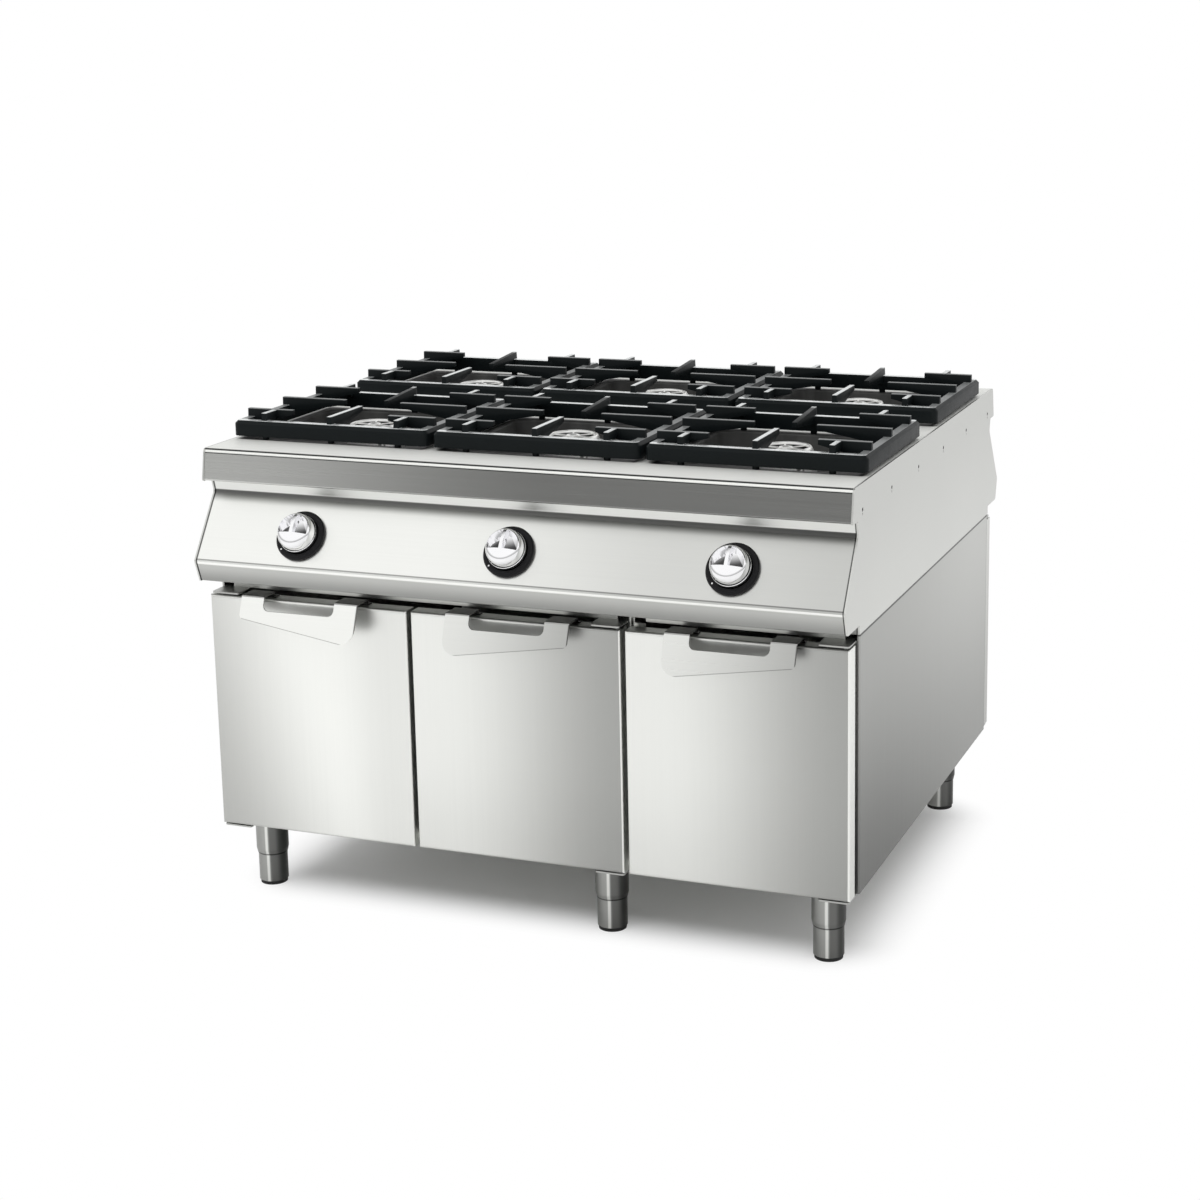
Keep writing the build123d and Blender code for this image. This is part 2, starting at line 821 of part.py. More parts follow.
# Top rail: a flat tube across the head of a cupboard's front or rear, over its hinge brackets
def make_top_rail(left, right, side):
    tall = base_top - seat_gap - rail_bottom_z
    length = right - left - 2 * (wall_return + fit_gap)
    centre = (side * (cabinet_half_depth - rail_depth / 2), rail_bottom_z + tall / 2)
    with BuildPart() as rail:
        with BuildSketch(Plane.YZ.offset((left + right - length) / 2)):
            with Locations(centre):
                Rectangle(rail_depth, tall)
                Rectangle(rail_depth - 2 * sheet, tall - 2 * sheet, mode=Mode.SUBTRACT)
        extrude(amount=length)
    return rail.part


# Hinge brackets: a plate with a fixed pin over a front door and one under it
def make_hinge_brackets(door_x, hinge_side):
    pin_x = door_x + hinge_side * (door_width / 2 - hinge_side_inset)
    plate_x = pin_x + hinge_side * (bracket_nose - bracket_length / 2)
    nose_y = hinge_y + bracket_nose
    plates = [
        (top_bracket_z, cabinet_half_depth - rail_depth),
        (bottom_bracket_z, cabinet_half_depth - bracket_overlap),
    ]
    with BuildPart() as brackets:
        for plate_z, back_y in plates:
            with BuildSketch(Plane((plate_x, -(nose_y + back_y) / 2, plate_z))):
                Rectangle(bracket_length, nose_y - back_y)
            extrude(amount=bracket_thickness)
        fillet(brackets.edges().filter_by(Axis.Z).group_by(Axis.Y)[0], radius=bracket_nose / 2)
        with BuildSketch(Plane((pin_x, -hinge_y, top_bracket_z + bracket_thickness))):
            Circle(hinge_pin_radius)
        extrude(amount=-hinge_pin_length)
        with BuildSketch(Plane((pin_x, -hinge_y, bottom_bracket_z))):
            Circle(hinge_pin_radius)
        extrude(amount=hinge_pin_length)
    return brackets.part


# Door: an outer pan with rounded front edges and a drilled boss at each end of the hinge line
def make_door_shell(door_x, hinge_side):
    pin_x = door_x + hinge_side * (door_width / 2 - hinge_side_inset)
    with BuildPart() as shell:
        with BuildSketch(Plane.XZ.offset(door_back_y)):
            with Locations((door_x, door_middle_z)):
                Rectangle(door_width, door_height)
        extrude(amount=door_thickness)
        fillet(shell.faces().sort_by(Axis.Y)[0].edges(), radius=door_edge_radius)
        offset(amount=-door_sheet, openings=shell.faces().sort_by(Axis.Y)[-1])
        with BuildSketch(Plane((pin_x, -hinge_y, door_bottom + door_sheet))):
            Circle(hinge_boss_radius)
        extrude(amount=hinge_boss_length)
        with BuildSketch(Plane((pin_x, -hinge_y, door_top - door_sheet))):
            Circle(hinge_boss_radius)
        extrude(amount=-hinge_boss_length)
        with BuildSketch(Plane((pin_x, -hinge_y, door_bottom))):
            Circle(hinge_pin_radius + running_gap)
        extrude(amount=door_height, mode=Mode.SUBTRACT)
    return shell.part


# Door liner: a shallow pan that closes the back of the shell
def make_door_liner(door_x):
    liner_width = door_width - 2 * (door_sheet + fit_gap)
    liner_height = door_height - 2 * (door_sheet + fit_gap)
    with BuildPart() as liner:
        with BuildSketch(Plane.XZ.offset(door_back_y)):
            with Locations((door_x, door_middle_z)):
                Rectangle(liner_width, liner_height)
        extrude(amount=liner_depth)
        with BuildSketch(Plane.XZ.offset(door_back_y + door_sheet)):
            with Locations((door_x, door_middle_z)):
                Rectangle(liner_width - 2 * door_sheet, liner_height - 2 * door_sheet)
        extrude(amount=liner_depth, mode=Mode.SUBTRACT)
    return liner.part


# Handle: a leaning plate with a finger notch, hung from two straps that step down onto the door's top
def make_handle(door_x, hinge_side):
    flange_z = door_top + seat_gap + handle_sheet
    fold_z = flange_z + handle_rise
    fold_y = door_face_y + handle_reach
    step_y = door_face_y - handle_step_back
    flange_y = step_y - handle_step_lean
    low_z = fold_z - handle_drop
    line = [
        (-fold_y - handle_lean, low_z),
        (-fold_y, fold_z),
        (-step_y, fold_z),
        (-flange_y, flange_z),
        (-flange_y + handle_flange, flange_z),
    ]
    hinge_end = door_x + hinge_side * handle_width / 2
    free_end = door_x - hinge_side * handle_width / 2
    section = bent_sheet(Plane.YZ.offset(door_x - handle_width / 2), line, [fold_radius] * 3, handle_sheet)
    with BuildPart() as handle:
        extrude(section, amount=handle_width)
        with BuildSketch(Plane.XZ):
            with BuildLine():
                FilletPolyline(
                    (hinge_end, low_z + handle_slope),
                    (free_end, low_z),
                    (free_end, fold_z),
                    (hinge_end, fold_z),
                    radius=[handle_small_corner, handle_big_corner, 0, 0],
                    close=True,
                )
            make_face()
        extrude(amount=fold_y + 2 * handle_lean, mode=Mode.INTERSECT)
        with BuildSketch(Plane.XZ):
            with Locations((door_x, fold_z)):
                RectangleRounded(handle_notch_width, 2 * handle_notch_depth, handle_notch_radius)
        extrude(amount=fold_y + 2 * handle_lean, mode=Mode.SUBTRACT)
    return handle.part


# Leg: a flanged tube under the cupboard floor, open below for the foot
def make_leg(x, y):
    flange_top = leg_height - seat_gap
    bore = foot_radius + clamp_gap
    with BuildPart() as leg:
        with BuildSketch(upright_plane(x, y)):
            with BuildLine():
                Polyline(
                    (bore, leg_bottom),
                    (leg_radius - leg_taper, leg_bottom),
                    (leg_radius, leg_bottom + leg_taper_height),
                    (leg_radius, flange_top - leg_flange_thickness),
                    (leg_flange_radius, flange_top - leg_flange_thickness),
                    (leg_flange_radius, flange_top),
                    (bore, flange_top),
                    close=True,
                )
            make_face()
        revolve(axis=Axis((x, y, 0), (0, 0, 1)))
    return leg.part


# Foot: a sleeve that moves up and down inside the leg, closed below by a pad
def make_foot(x, y):
    top = leg_bottom + foot_engagement
    bore = foot_radius - foot_wall
    with BuildPart() as foot:
        with BuildSketch(upright_plane(x, y)):
            with BuildLine():
                Polyline(
                    (0, 0),
                    (foot_pad_radius, 0),
                    (foot_pad_radius, foot_pad_height),
                    (foot_radius, foot_pad_height + foot_radius - foot_pad_radius),
                    (foot_radius, top),
                    (bore, top),
                    (bore, foot_pad_height + foot_wall),
                    (0, foot_pad_height + foot_wall),
                    close=True,
                )
            make_face()
        revolve(axis=Axis((x, y, 0), (0, 0, 1)))
    return foot.part


# The burner unit
console = make_console()
save(make_worktop(), "worktop")
save(make_top_side(-half_width), "top_side_left")
save(make_top_side(half_width - side_sheet), "top_side_right")
save(console, "console_front")
save(to_rear(console), "console_rear")
save(make_burner_box_floor(), "burner_box_floor")

head = make_burner_head()
with BuildPart() as burner_heads:
    with Locations(*burner_places):
        add(head)
save(burner_heads.part, "burner_heads")
save(gather([make_burner_body(x, side) for x, side in knob_places]), "burner_bodies")
save(gather([make_valve(x, side) for x, side in knob_places]), "gas_valves")
save(gather([make_gas_pipe()] + [make_feed(x, side) for x, side in knob_places]), "gas_pipework")
save(gather([make_bezel(x, side) for x, side in knob_places]), "knob_bezels")

# The cupboards
divider_faces = [divider_x - fit_gap, divider_x + fit_gap]
cupboards = [(-half_width, divider_faces[0]), (divider_faces[1], half_width)]
dividers = [make_cabinet_wall(divider_faces[0], -1), make_cabinet_wall(divider_faces[1], 1)]
rails = [make_top_rail(left, right, side) for left, right in cupboards for side in (-1, 1)]
save(make_cabinet_wall(-half_width, 1), "cabinet_side_left")
save(make_cabinet_wall(half_width, -1), "cabinet_side_right")
save(gather(dividers), "cabinet_dividers")
save(gather([make_cabinet_floor(left, right) for left, right in cupboards]), "cabinet_floors")
save(gather(rails), "cabinet_top_rails")
save(gather([make_leg(x, y) for x, y in leg_places]), "leg_tubes")

# The doors: the left one is hinged on its left, the others on their right
hinge_sides = [-1, 1, 1]
front_brackets = [make_hinge_brackets(x, hinge) for x, hinge in zip(columns, hinge_sides)]
save(gather(front_brackets + [to_rear(piece) for piece in front_brackets]), "hinge_brackets")
for x, hinge, column in zip(columns, hinge_sides, column_names):
    door_pieces = {
        "door_shell": make_door_shell(x, hinge),
        "door_liner": make_door_liner(x),
        "door_handle": make_handle(x, hinge),
    }
    for name, piece in door_pieces.items():
        save(piece, f"{name}_front_{column}")
        save(to_rear(piece), f"{name}_rear_{column}")

# Grates, knobs, spindles and feet
for side, side_name in side_names.items():
    for x, column in zip(columns, column_names):
        save(make_grate(x, side * row_offset), f"grate_{side_name}_{column}")
        save(make_spindle(x, side), f"spindle_{side_name}_{column}")
        save(make_knob(x, side), f"knob_{side_name}_{column}")
    for x, column in zip(leg_columns, column_names):
        save(make_foot(x, side * leg_row_offset), f"foot_{side_name}_{column}")
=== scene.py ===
from math import cos, pi, radians, sin

import bmesh
import bpy
from mathutils import Matrix, Vector


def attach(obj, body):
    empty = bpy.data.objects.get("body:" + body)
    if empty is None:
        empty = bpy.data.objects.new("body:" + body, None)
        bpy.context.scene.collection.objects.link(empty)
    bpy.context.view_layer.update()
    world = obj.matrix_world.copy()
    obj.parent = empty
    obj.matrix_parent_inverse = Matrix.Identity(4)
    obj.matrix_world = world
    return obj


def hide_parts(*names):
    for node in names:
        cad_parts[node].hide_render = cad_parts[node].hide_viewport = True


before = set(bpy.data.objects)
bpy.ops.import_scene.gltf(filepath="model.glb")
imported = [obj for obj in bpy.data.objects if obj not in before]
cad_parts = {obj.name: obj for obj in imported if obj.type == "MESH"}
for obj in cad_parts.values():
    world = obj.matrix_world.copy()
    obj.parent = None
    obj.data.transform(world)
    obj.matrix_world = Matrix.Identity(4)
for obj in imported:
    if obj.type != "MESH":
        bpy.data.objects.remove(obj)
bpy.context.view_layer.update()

# Places on the range, in metres
HALF_LENGTH = 0.6
COLUMN_PITCH = 0.4
COLUMNS = {"left": -COLUMN_PITCH, "middle": 0.0, "right": COLUMN_PITCH}
LEFT_COLUMN_END = -0.2
SIDES = {"front": -1, "rear": 1}
BURNER_ROW = 0.232
WELL_FLOOR = 0.812


# Shader maths

class Link:
    """An output socket. Arithmetic on it adds Math nodes to its tree."""

    def __init__(self, nodes, socket):
        self.nodes = nodes
        self.socket = socket

    def math(self, operation, first, second):
        return self.nodes.node("ShaderNodeMath", {"operation": operation}, {0: first, 1: second})

    def __add__(self, other):
        return self.math("ADD", self, other)

    def __sub__(self, other):
        return self.math("SUBTRACT", self, other)

    def __rsub__(self, other):
        return self.math("SUBTRACT", other, self)

    def __mul__(self, other):
        return self.math("MULTIPLY", self, other)

    def __truediv__(self, other):
        return self.math("DIVIDE", self, other)

    def __pow__(self, other):
        return self.math("POWER", self, other)

    def __mod__(self, other):
        return self.math("FLOORED_MODULO", self, other)

    def __abs__(self):
        return self.math("ABSOLUTE", self, 0.0)

    def above(self, level):
        return self.math("GREATER_THAN", self, level)

    def below(self, level):
        return self.math("LESS_THAN", self, level)

    def most(self, other):
        return self.math("MAXIMUM", self, other)

    def around(self, middle, spread):
        """A noise of 0 to 1, made to vary by a spread round a middle."""
        return (self - 0.5) * spread + middle

    __radd__ = __add__
    __rmul__ = __mul__


class Nodes:
    """A node tree that is filled by one method."""

    def __init__(self, tree):
        self.tree = tree
        self.tree.nodes.clear()

    def plug(self, target, value):
        if isinstance(value, Link):
            self.tree.links.new(value.socket, target)
        else:
            target.default_value = value

    def node(self, kind, settings, sockets, output=0):
        """Adds a node: its settings first, then the values or links of its sockets."""
        node = self.tree.nodes.new(kind)
        for name, value in settings.items():
            setattr(node, name, value)
        for name, value in sockets.items():
            self.plug(node.inputs[name], value)
        return Link(self, node.outputs[output]) if node.outputs else None

    def coordinates(self, kind):
        return self.node("ShaderNodeTexCoord", {}, {}, kind)

    def axis(self, letter, place):
        return self.node("ShaderNodeSeparateXYZ", {}, {"Vector": place}, letter)

    def rays(self, kind):
        """1 for rays of one kind, 0 for others."""
        return self.node("ShaderNodeLightPath", {}, {}, f"Is {kind} Ray")

    def ramp(self, value, span, levels=(0.0, 1.0)):
        """Goes softly from one level to another while the value goes through a span."""
        ends = {"From Min": span[0], "From Max": span[1], "To Min": levels[0], "To Max": levels[1]}
        return self.node("ShaderNodeMapRange", {"interpolation_type": "SMOOTHSTEP"}, {"Value": value, **ends})

    def blend(self, factor, first, second):
        """A number between two others."""
        return first * (1.0 - factor) + second * factor


class Finish(Nodes):
    """A material's nodes, built round one Principled shader."""

    def __init__(self, name, **constants):
        self.material = bpy.data.materials.new(name)
        self.material.use_nodes = True
        super().__init__(self.material.node_tree)
        self.shader = self.tree.nodes.new("ShaderNodeBsdfPrincipled")
        output = self.tree.nodes.new("ShaderNodeOutputMaterial")
        self.tree.links.new(self.shader.outputs[0], output.inputs[0])
        for socket, value in constants.items():
            self.shader.inputs[socket.replace("_", " ")].default_value = value
        self.place = self.coordinates("Object")
        self.x, self.y, self.z = [self.axis(letter, self.place) for letter in "XYZ"]

    def viewer_x(self):
        """How far right a point lies for someone who stands before it, at the front or at the back."""
        return self.x * (1.0 - self.y.above(0.0) * 2.0)

    def door_share(self):
        """Where a point lies on its door's width for someone before it, 0 at the left and 1 at the right."""
        return ((self.viewer_x() + HALF_LENGTH) % COLUMN_PITCH) / COLUMN_PITCH

    def column_x(self):
        """How far right of its burner column's middle a point lies."""
        return (self.x + HALF_LENGTH) % COLUMN_PITCH - COLUMN_PITCH / 2

    def row_y(self):
        """How far outside the axis of its burner row a point lies."""
        return abs(self.y) - BURNER_ROW

    def noise(self, scale, detail, place=None):
        sockets = {"Vector": place or self.place, "Scale": scale, "Detail": detail}
        return self.node("ShaderNodeTexNoise", {}, sockets)

    def stretched(self, scale):
        """The object's coordinates, scaled apart along each axis."""
        return self.node("ShaderNodeMapping", {}, {"Vector": self.place, "Scale": scale})

    def grain(self, direction, scales, detail):
        """Streaks in one direction, from a noise with one scale along and another across it."""
        along, across = scales
        stretch = [along if axis == direction else across for axis in "xyz"]
        return self.noise(1.0, detail, self.stretched(stretch))

    def skin(self, fine, coarse, fine_share):
        """A fine noise over a coarse one."""
        return self.noise(fine, 4.0) * fine_share + self.noise(coarse, 2.0) * (1.0 - fine_share)

    def dark_line(self, value, middle, half, depth):
        """1, but less by a depth in a thin soft line."""
        return 1.0 - self.ramp(abs(value - middle), (half * 0.4, half), (depth, 0.0))

    def mix(self, factor, first, second):
        return self.node("ShaderNodeMix", {"data_type": "RGBA"}, {0: factor, 6: first, 7: second}, 2)

    def tone(self, colour, level):
        """A colour made lighter or darker by a level round 1."""
        colour = colour if isinstance(colour, Link) else colour[:3]
        return self.node("ShaderNodeVectorMath", {"operation": "SCALE"}, {0: colour, "Scale": level})

    def bump(self, height, strength, distance):
        return self.node("ShaderNodeBump", {}, {"Height": height, "Strength": strength, "Distance": distance})

    def feed(self, **links):
        for socket, value in links.items():
            self.plug(self.shader.inputs[socket.replace("_", " ")], value)
        return self.material


# Steel sheet: each shade is a tone over the piece, mostly painted sheen, highlights and shade, and its spans are
# places in metres

STEEL = (0.992, 1.0, 0.965, 1.0)
FINE_GRAIN = (2.5, 900.0)
COARSE_GRAIN = (0.8, 140.0)
FINE_SHARE = 0.6
PATCH_SIZE = 3.0
STREAK_GLOSS = 0.16
PATCH_TONE = 0.08
PATCH_GLOSS = 0.06
MATT_METAL = 0.75
MATT_GLOSS = 0.3


def brushed(name, direction, shade, roughness, streaks=0.1, dull=None):
    """Brushed sheet: streaks along its grain, soft patches and an uneven gloss, matt where it is dull, its colour
    times a shade, which on most sheets is painted sheen and shade.
    """
    finish = Finish(name, Metallic=1.0)
    fine = finish.grain(direction, FINE_GRAIN, 3.0)
    streak = fine * FINE_SHARE + finish.grain(direction, COARSE_GRAIN, 2.0) * (1.0 - FINE_SHARE)
    patches = finish.noise(PATCH_SIZE, 2.0)
    level = streak.around(1.0, streaks) + patches.around(0.0, PATCH_TONE)
    gloss = streak.around(roughness, STREAK_GLOSS) + patches.around(0.0, PATCH_GLOSS)
    if dull:
        matt = dull(finish)
        finish.feed(Metallic=1.0 - matt * MATT_METAL)
        gloss = gloss + matt * MATT_GLOSS
    return finish.feed(
        Base_Color=finish.tone(STEEL, level * shade(finish)),
        Roughness=gloss,
        Normal=finish.bump(streak, 0.12, 0.0004),
    )


def plain_shade(level):
    return lambda sheet: level


DOOR_BOTTOM = 0.15
DOOR_HEIGHT = 0.435
DOOR_LEFT_FOLD = 0.0115
DOOR_RIGHT_FOLD = 0.9825
SIDEWAYS = 0.95


def door_shade(sheet):
    """Painted sheen that falls off towards each door's right edge, and on the left door to its lower left corner,
    with a painted highlight on the right fold and painted shade on the left fold.
    """
    share = sheet.door_share()
    rise = (sheet.z - DOOR_BOTTOM) / DOOR_HEIGHT
    # painted sheen over the door's face
    falling = sheet.ramp(share, (0.15, 1.0), (0.90, 0.42)) * sheet.ramp(rise, (0.0, 0.5), (0.93, 1.0))
    rising = sheet.ramp(rise * 0.35 + share, (0.0, 0.8), (0.52, 0.97))
    rising = rising * sheet.ramp(share, (0.6, 0.9), (1.0, 0.88))
    front = sheet.blend(sheet.viewer_x().below(LEFT_COLUMN_END), falling, rising)
    side_face = abs(sheet.axis("X", sheet.coordinates("Normal"))).above(SIDEWAYS)
    # painted shade along the left fold and a painted highlight on the right fold
    left_fold = share.below(DOOR_LEFT_FOLD) * (1.0 - side_face)
    return sheet.blend(share.above(DOOR_RIGHT_FOLD), front, 0.95) * (1.0 - left_fold * 0.85)


PLATE_TOP = 0.5962
PLATE_OUT = 0.536
PLATE_SLOPE = 0.3803
PLATE_BACK = (-0.0017, -0.0006)
PLATE_END = (0.1132, 0.1142)
RIM_LOW = 0.5252
RIM_HALF_LENGTH = 0.115
RIM_SLOPE = 0.1391
RIM_BAND = (0.0006, 0.0016)
STRAP_BOTTOM = 0.5935


def handle_shade(sheet):
    """Painted sheen of the door on the plate's face, painted shade on its edges and behind it, a painted shadow
    line along its lower rim and at its end, and grey painted shade on the straps.
    """
    falling = sheet.ramp(sheet.door_share(), (0.15, 1.0), (0.84, 0.42))
    face = sheet.blend(sheet.viewer_x().below(LEFT_COLUMN_END), falling, 0.98)
    in_front = (sheet.z - PLATE_TOP) * PLATE_SLOPE + abs(sheet.y) - PLATE_OUT
    # painted shade on the plate's edges and behind it
    back = sheet.ramp(in_front, PLATE_BACK, (0.12, 1.0))
    across = sheet.column_x()
    hand = 1.0 - sheet.x.below(LEFT_COLUMN_END) * 2.0
    above_rim = sheet.z - RIM_LOW - (hand * across + RIM_HALF_LENGTH) * RIM_SLOPE
    # painted shadow line along the plate's lower rim, and painted shade at its end
    rim = sheet.ramp(above_rim, RIM_BAND, (0.5, 1.0)) * sheet.ramp(across, PLATE_END, (1.0, 0.3))
    # grey painted shade on the straps
    return sheet.blend(sheet.z.above(STRAP_BOTTOM), face * back * rim, 0.4)


WELL_SIDE = (0.182, 0.19)
WELL_END = (0.168, 0.176)
TOP_SURFACE = 0.8485
TOP_LINE = 0.8486
FASCIA_LINE = 0.8425
FASCIA_TOP = (0.8424, 0.8432)
FASCIA_OUT = 0.495
WELL_SHADE_SIZE = (26.0, 26.0, 5.0)


def worktop_well(sheet):
    """1 in the wells and under the grates' rails, where the sheet is matt and painted dark as shade."""
    beside = sheet.ramp(abs(sheet.column_x()), WELL_SIDE, (1.0, 0.0))
    return beside * sheet.ramp(abs(sheet.row_y()), WELL_END, (1.0, 0.0))


def worktop_dull(sheet):
    return worktop_well(sheet).most(sheet.z.above(TOP_SURFACE))


def worktop_shade(sheet):
    """Bright top, painted dark reflection lines along its rounded edge, fascias with a painted sheen that darkens
    to the right, and mottled painted shade in the wells.
    """
    fascia = sheet.ramp(sheet.z, FASCIA_TOP, (1.0, 0.0)) * abs(sheet.y).above(FASCIA_OUT)
    # painted reflections: dark lines along the rounded front edge and along the fascia's top
    lines = sheet.dark_line(sheet.z, TOP_LINE, 0.0016, 0.96)
    lines = lines * sheet.dark_line(sheet.z, FASCIA_LINE, 0.0012, 0.85)
    # painted sheen on the fascias, darker to the right
    top = sheet.blend(fascia, 0.9, sheet.ramp(sheet.viewer_x(), (-0.6, 0.1), (0.62, 0.26)))
    # painted shade, mottled, in the wells and under the rails
    well_shade = sheet.noise(1.0, 2.0, sheet.stretched(WELL_SHADE_SIZE)) * 0.12
    return sheet.blend(worktop_well(sheet), top * lines, well_shade)


CHAMFER = (0.617, 0.650)
CHAMFER_EDGE = (0.6490, 0.6515)
SLANT_START = (0.6535, 0.6545)
SLANT_LINE = 0.6585
SLANT_FOLD = (0.749, 0.7665)
COVE_START = (0.7705, 0.7725)
CONSOLE_SEAM = (0.5940, 0.5950)


def console_shade(sheet):
    """Painted sheen on the slanted face, darkening to the right, painted shade in the fold above it and on the
    chamfer below it, a painted highlight on the chamfer's top edge, a painted dark line low on the slant, and
    painted shade in the seam at its ends.
    """
    x = sheet.viewer_x()
    # painted sheen on the slant, darker to the right
    slant = sheet.ramp(x, (-0.2, 0.35), (0.92, 0.68)) * sheet.ramp(x, (0.35, 0.6), (1.0, 0.87))
    # painted shade in the fold under the cove
    fold = sheet.ramp(sheet.z, SLANT_FOLD, (1.0, 0.16))
    upper = sheet.blend(sheet.ramp(sheet.z, COVE_START), slant * fold, 0.8)
    # painted shade on the chamfer, with a painted highlight along its top edge
    chamfer = sheet.ramp(sheet.z, CHAMFER, (0.34, 0.56))
    lower = sheet.blend(sheet.ramp(sheet.z, CHAMFER_EDGE), chamfer, 1.0)
    # painted shade in the seam at the console's ends
    seam = sheet.ramp(abs(x), CONSOLE_SEAM, (1.0, 0.2))
    below_slant = sheet.ramp(sheet.z, SLANT_START, (1.0, 0.0))
    # a painted dark line low on the slant
    return sheet.blend(below_slant, upper, lower) * sheet.dark_line(sheet.z, SLANT_LINE, 0.0016, 0.6) * seam


HOLE_PITCH = 0.1812
HOLE_HEIGHT = 0.806
HOLE_RIM = (0.0030, 0.0040)
DOT_DROP = 0.0085
DOT_RIM = (0.0009, 0.0016)


def upper_side_shade(sheet):
    """A little darker towards the top, with painted shade round the joining holes and a small dark dot painted
    for the shade in a pilot hole under each.
    """
    beside = (sheet.y + HOLE_PITCH * 3) % HOLE_PITCH - HOLE_PITCH / 2
    above = sheet.z - HOLE_HEIGHT
    # painted shade round each joining hole
    hole = sheet.ramp((beside * beside + above * above) ** 0.5, HOLE_RIM, (0.3, 1.0))
    below = above + DOT_DROP
    # a painted dark dot for the shade in a pilot hole below each
    dot = sheet.ramp((beside * beside + below * below) ** 0.5, DOT_RIM, (0.5, 1.0))
    return sheet.ramp(sheet.z, (0.6, 0.85), (0.7, 0.64)) * hole * dot


PANEL_TOP_EDGE = (0.5958, 0.5968)
PANEL_REAR_EDGE = (0.4605, 0.4615)


def lower_side_shade(sheet):
    """Painted shade: darker towards the floor and towards the front, with a painted dark line in the gap along
    the top edge and another along the rear edge.
    """
    # painted shade, darker low down and towards the front
    field = sheet.ramp(sheet.z, (0.12, 0.62), (0.19, 0.44)) + sheet.ramp(sheet.y, (-0.47, 0.47), (0.0, 0.17))
    # painted shade lines in the gaps at the top edge and the rear edge
    top_edge = sheet.ramp(sheet.z, PANEL_TOP_EDGE, (1.0, 0.2))
    return field * (top_edge * sheet.ramp(sheet.y, PANEL_REAR_EDGE, (1.0, 0.15)))


LEG_PLACES = (-0.565, 0.125, 0.526)
LEG_RADIUS = 0.03
FOOT_SEAM = 0.0605
PAD_TOP = 0.0072


def tube_shade(sheet):
    """A painted highlight down each leg and painted shade round to its right, with a painted dark line at the
    seam where the foot goes in.
    """
    left, middle, right = LEG_PLACES
    leg_x = sheet.x.above(-0.2) * (middle - left) + sheet.x.above(0.33) * (right - middle) + left
    across = (sheet.x - leg_x) / LEG_RADIUS
    # painted light and shade across each leg: lighter on the left, darker round to the right
    light_side = sheet.ramp(across, (-0.6, 0.1), (0.36, 0.42))
    dark_side = sheet.ramp(across, (0.6, 0.85), (0.17, 0.08))
    body = sheet.blend(sheet.ramp(across, (0.2, 0.36)), light_side, dark_side)
    # a painted highlight streak down each leg
    streak = sheet.ramp(abs(across - 0.15), (0.05, 0.16), (0.85, 0.0))
    return body.most(streak) * sheet.dark_line(sheet.z, FOOT_SEAM, 0.0022, 0.7)


def foot_finish():
    """The leg's steel with its painted highlight and shade on the foot's tube, over a black rubber pad."""
    foot = Finish("foot tube and pad")
    fine = foot.grain("z", FINE_GRAIN, 3.0)
    pad = foot.z.below(PAD_TOP)
    steel = foot.tone(STEEL, fine.around(1.0, 0.1) * tube_shade(foot))
    return foot.feed(
        Base_Color=foot.mix(pad, steel, (0.01, 0.01, 0.01, 1.0)),
        Metallic=1.0 - pad,
        Roughness=fine.around(0.3, 0.14) + pad * 0.25,
        Normal=foot.bump(fine, 0.12, 0.0004),
    )


# Castings, fittings and mouldings

IRON_BLACK = (0.0060, 0.0082, 0.0088, 1.0)
IRON_HIGHLIGHT = (0.69, 0.71, 0.71, 1.0)
IRON_RAW = (0.02, 0.02, 0.02, 1.0)
ALLOY = (0.93, 0.93, 0.91, 1.0)
BRASS = (0.72, 0.5, 0.2, 1.0)
CHROME = (0.94, 0.94, 0.95, 1.0)
MOULDING_BLACK = (0.009, 0.009, 0.01, 1.0)
PRINT_WHITE = (0.8, 0.8, 0.8, 1.0)
HIGHLIGHT_MARGIN = 0.0005
CROWN_INSIDE = 0.0395


def cast_iron_finish():
    """Sandy black iron, with a painted highlight of pale metal on the tops of the rails and fingers, strongest on
    the fingers that run front to back.
    """
    iron = Finish("black cast iron", Specular_IOR_Level=0.12)
    skin = iron.skin(420.0, 60.0, 0.7)
    beside, before = abs(iron.column_x()), abs(iron.row_y())
    side_rail = beside.above(GRATE_HALF.x - RAIL_WIDTH) * 0.3
    rail = side_rail.most(before.above(GRATE_HALF.y - RAIL_WIDTH))
    wide = FINGER_HALF + HIGHLIGHT_MARGIN
    near_rail = before.above(CORNER_FINGER_Y + FINGER_HALF - HIGHLIGHT_MARGIN)
    corner_finger = abs(beside - CORNER_FINGER_X).below(wide) * near_rail
    front_to_back = beside.below(wide).most(corner_finger)
    # painted highlight on the finger tops, brightest on those that run front to back
    finger_top = iron.ramp(iron.z, (FINGER_TOP - 0.0012, FINGER_TOP - 0.0002)) * (front_to_back * 0.75 + 0.25)
    rail_top = iron.ramp(iron.z, (RAIL_TOP - 0.0006, RAIL_TOP - 0.0001)) * iron.z.below(RAIL_TOP + 0.0008)
    # painted highlight, pale and metallic, on the tops of the rails and fingers
    painted_highlight = finger_top.most(rail * rail_top)
    return iron.feed(
        Base_Color=iron.tone(iron.mix(painted_highlight, IRON_BLACK, IRON_HIGHLIGHT), skin.around(1.1, 1.0)),
        Metallic=painted_highlight * 0.9,
        Roughness=skin.around(0.42, 0.3) - painted_highlight * 0.12,
        Normal=iron.bump(skin, 0.3, 0.0005),
    )


def burner_iron_finish():
    raw = Finish("grey cast iron")
    skin = raw.skin(300.0, 40.0, 0.7)
    return raw.feed(
        Base_Color=raw.tone(IRON_RAW, skin.around(1.0, 1.0)),
        Roughness=skin.around(0.7, 0.3),
        Normal=raw.bump(skin, 0.4, 0.0008),
    )


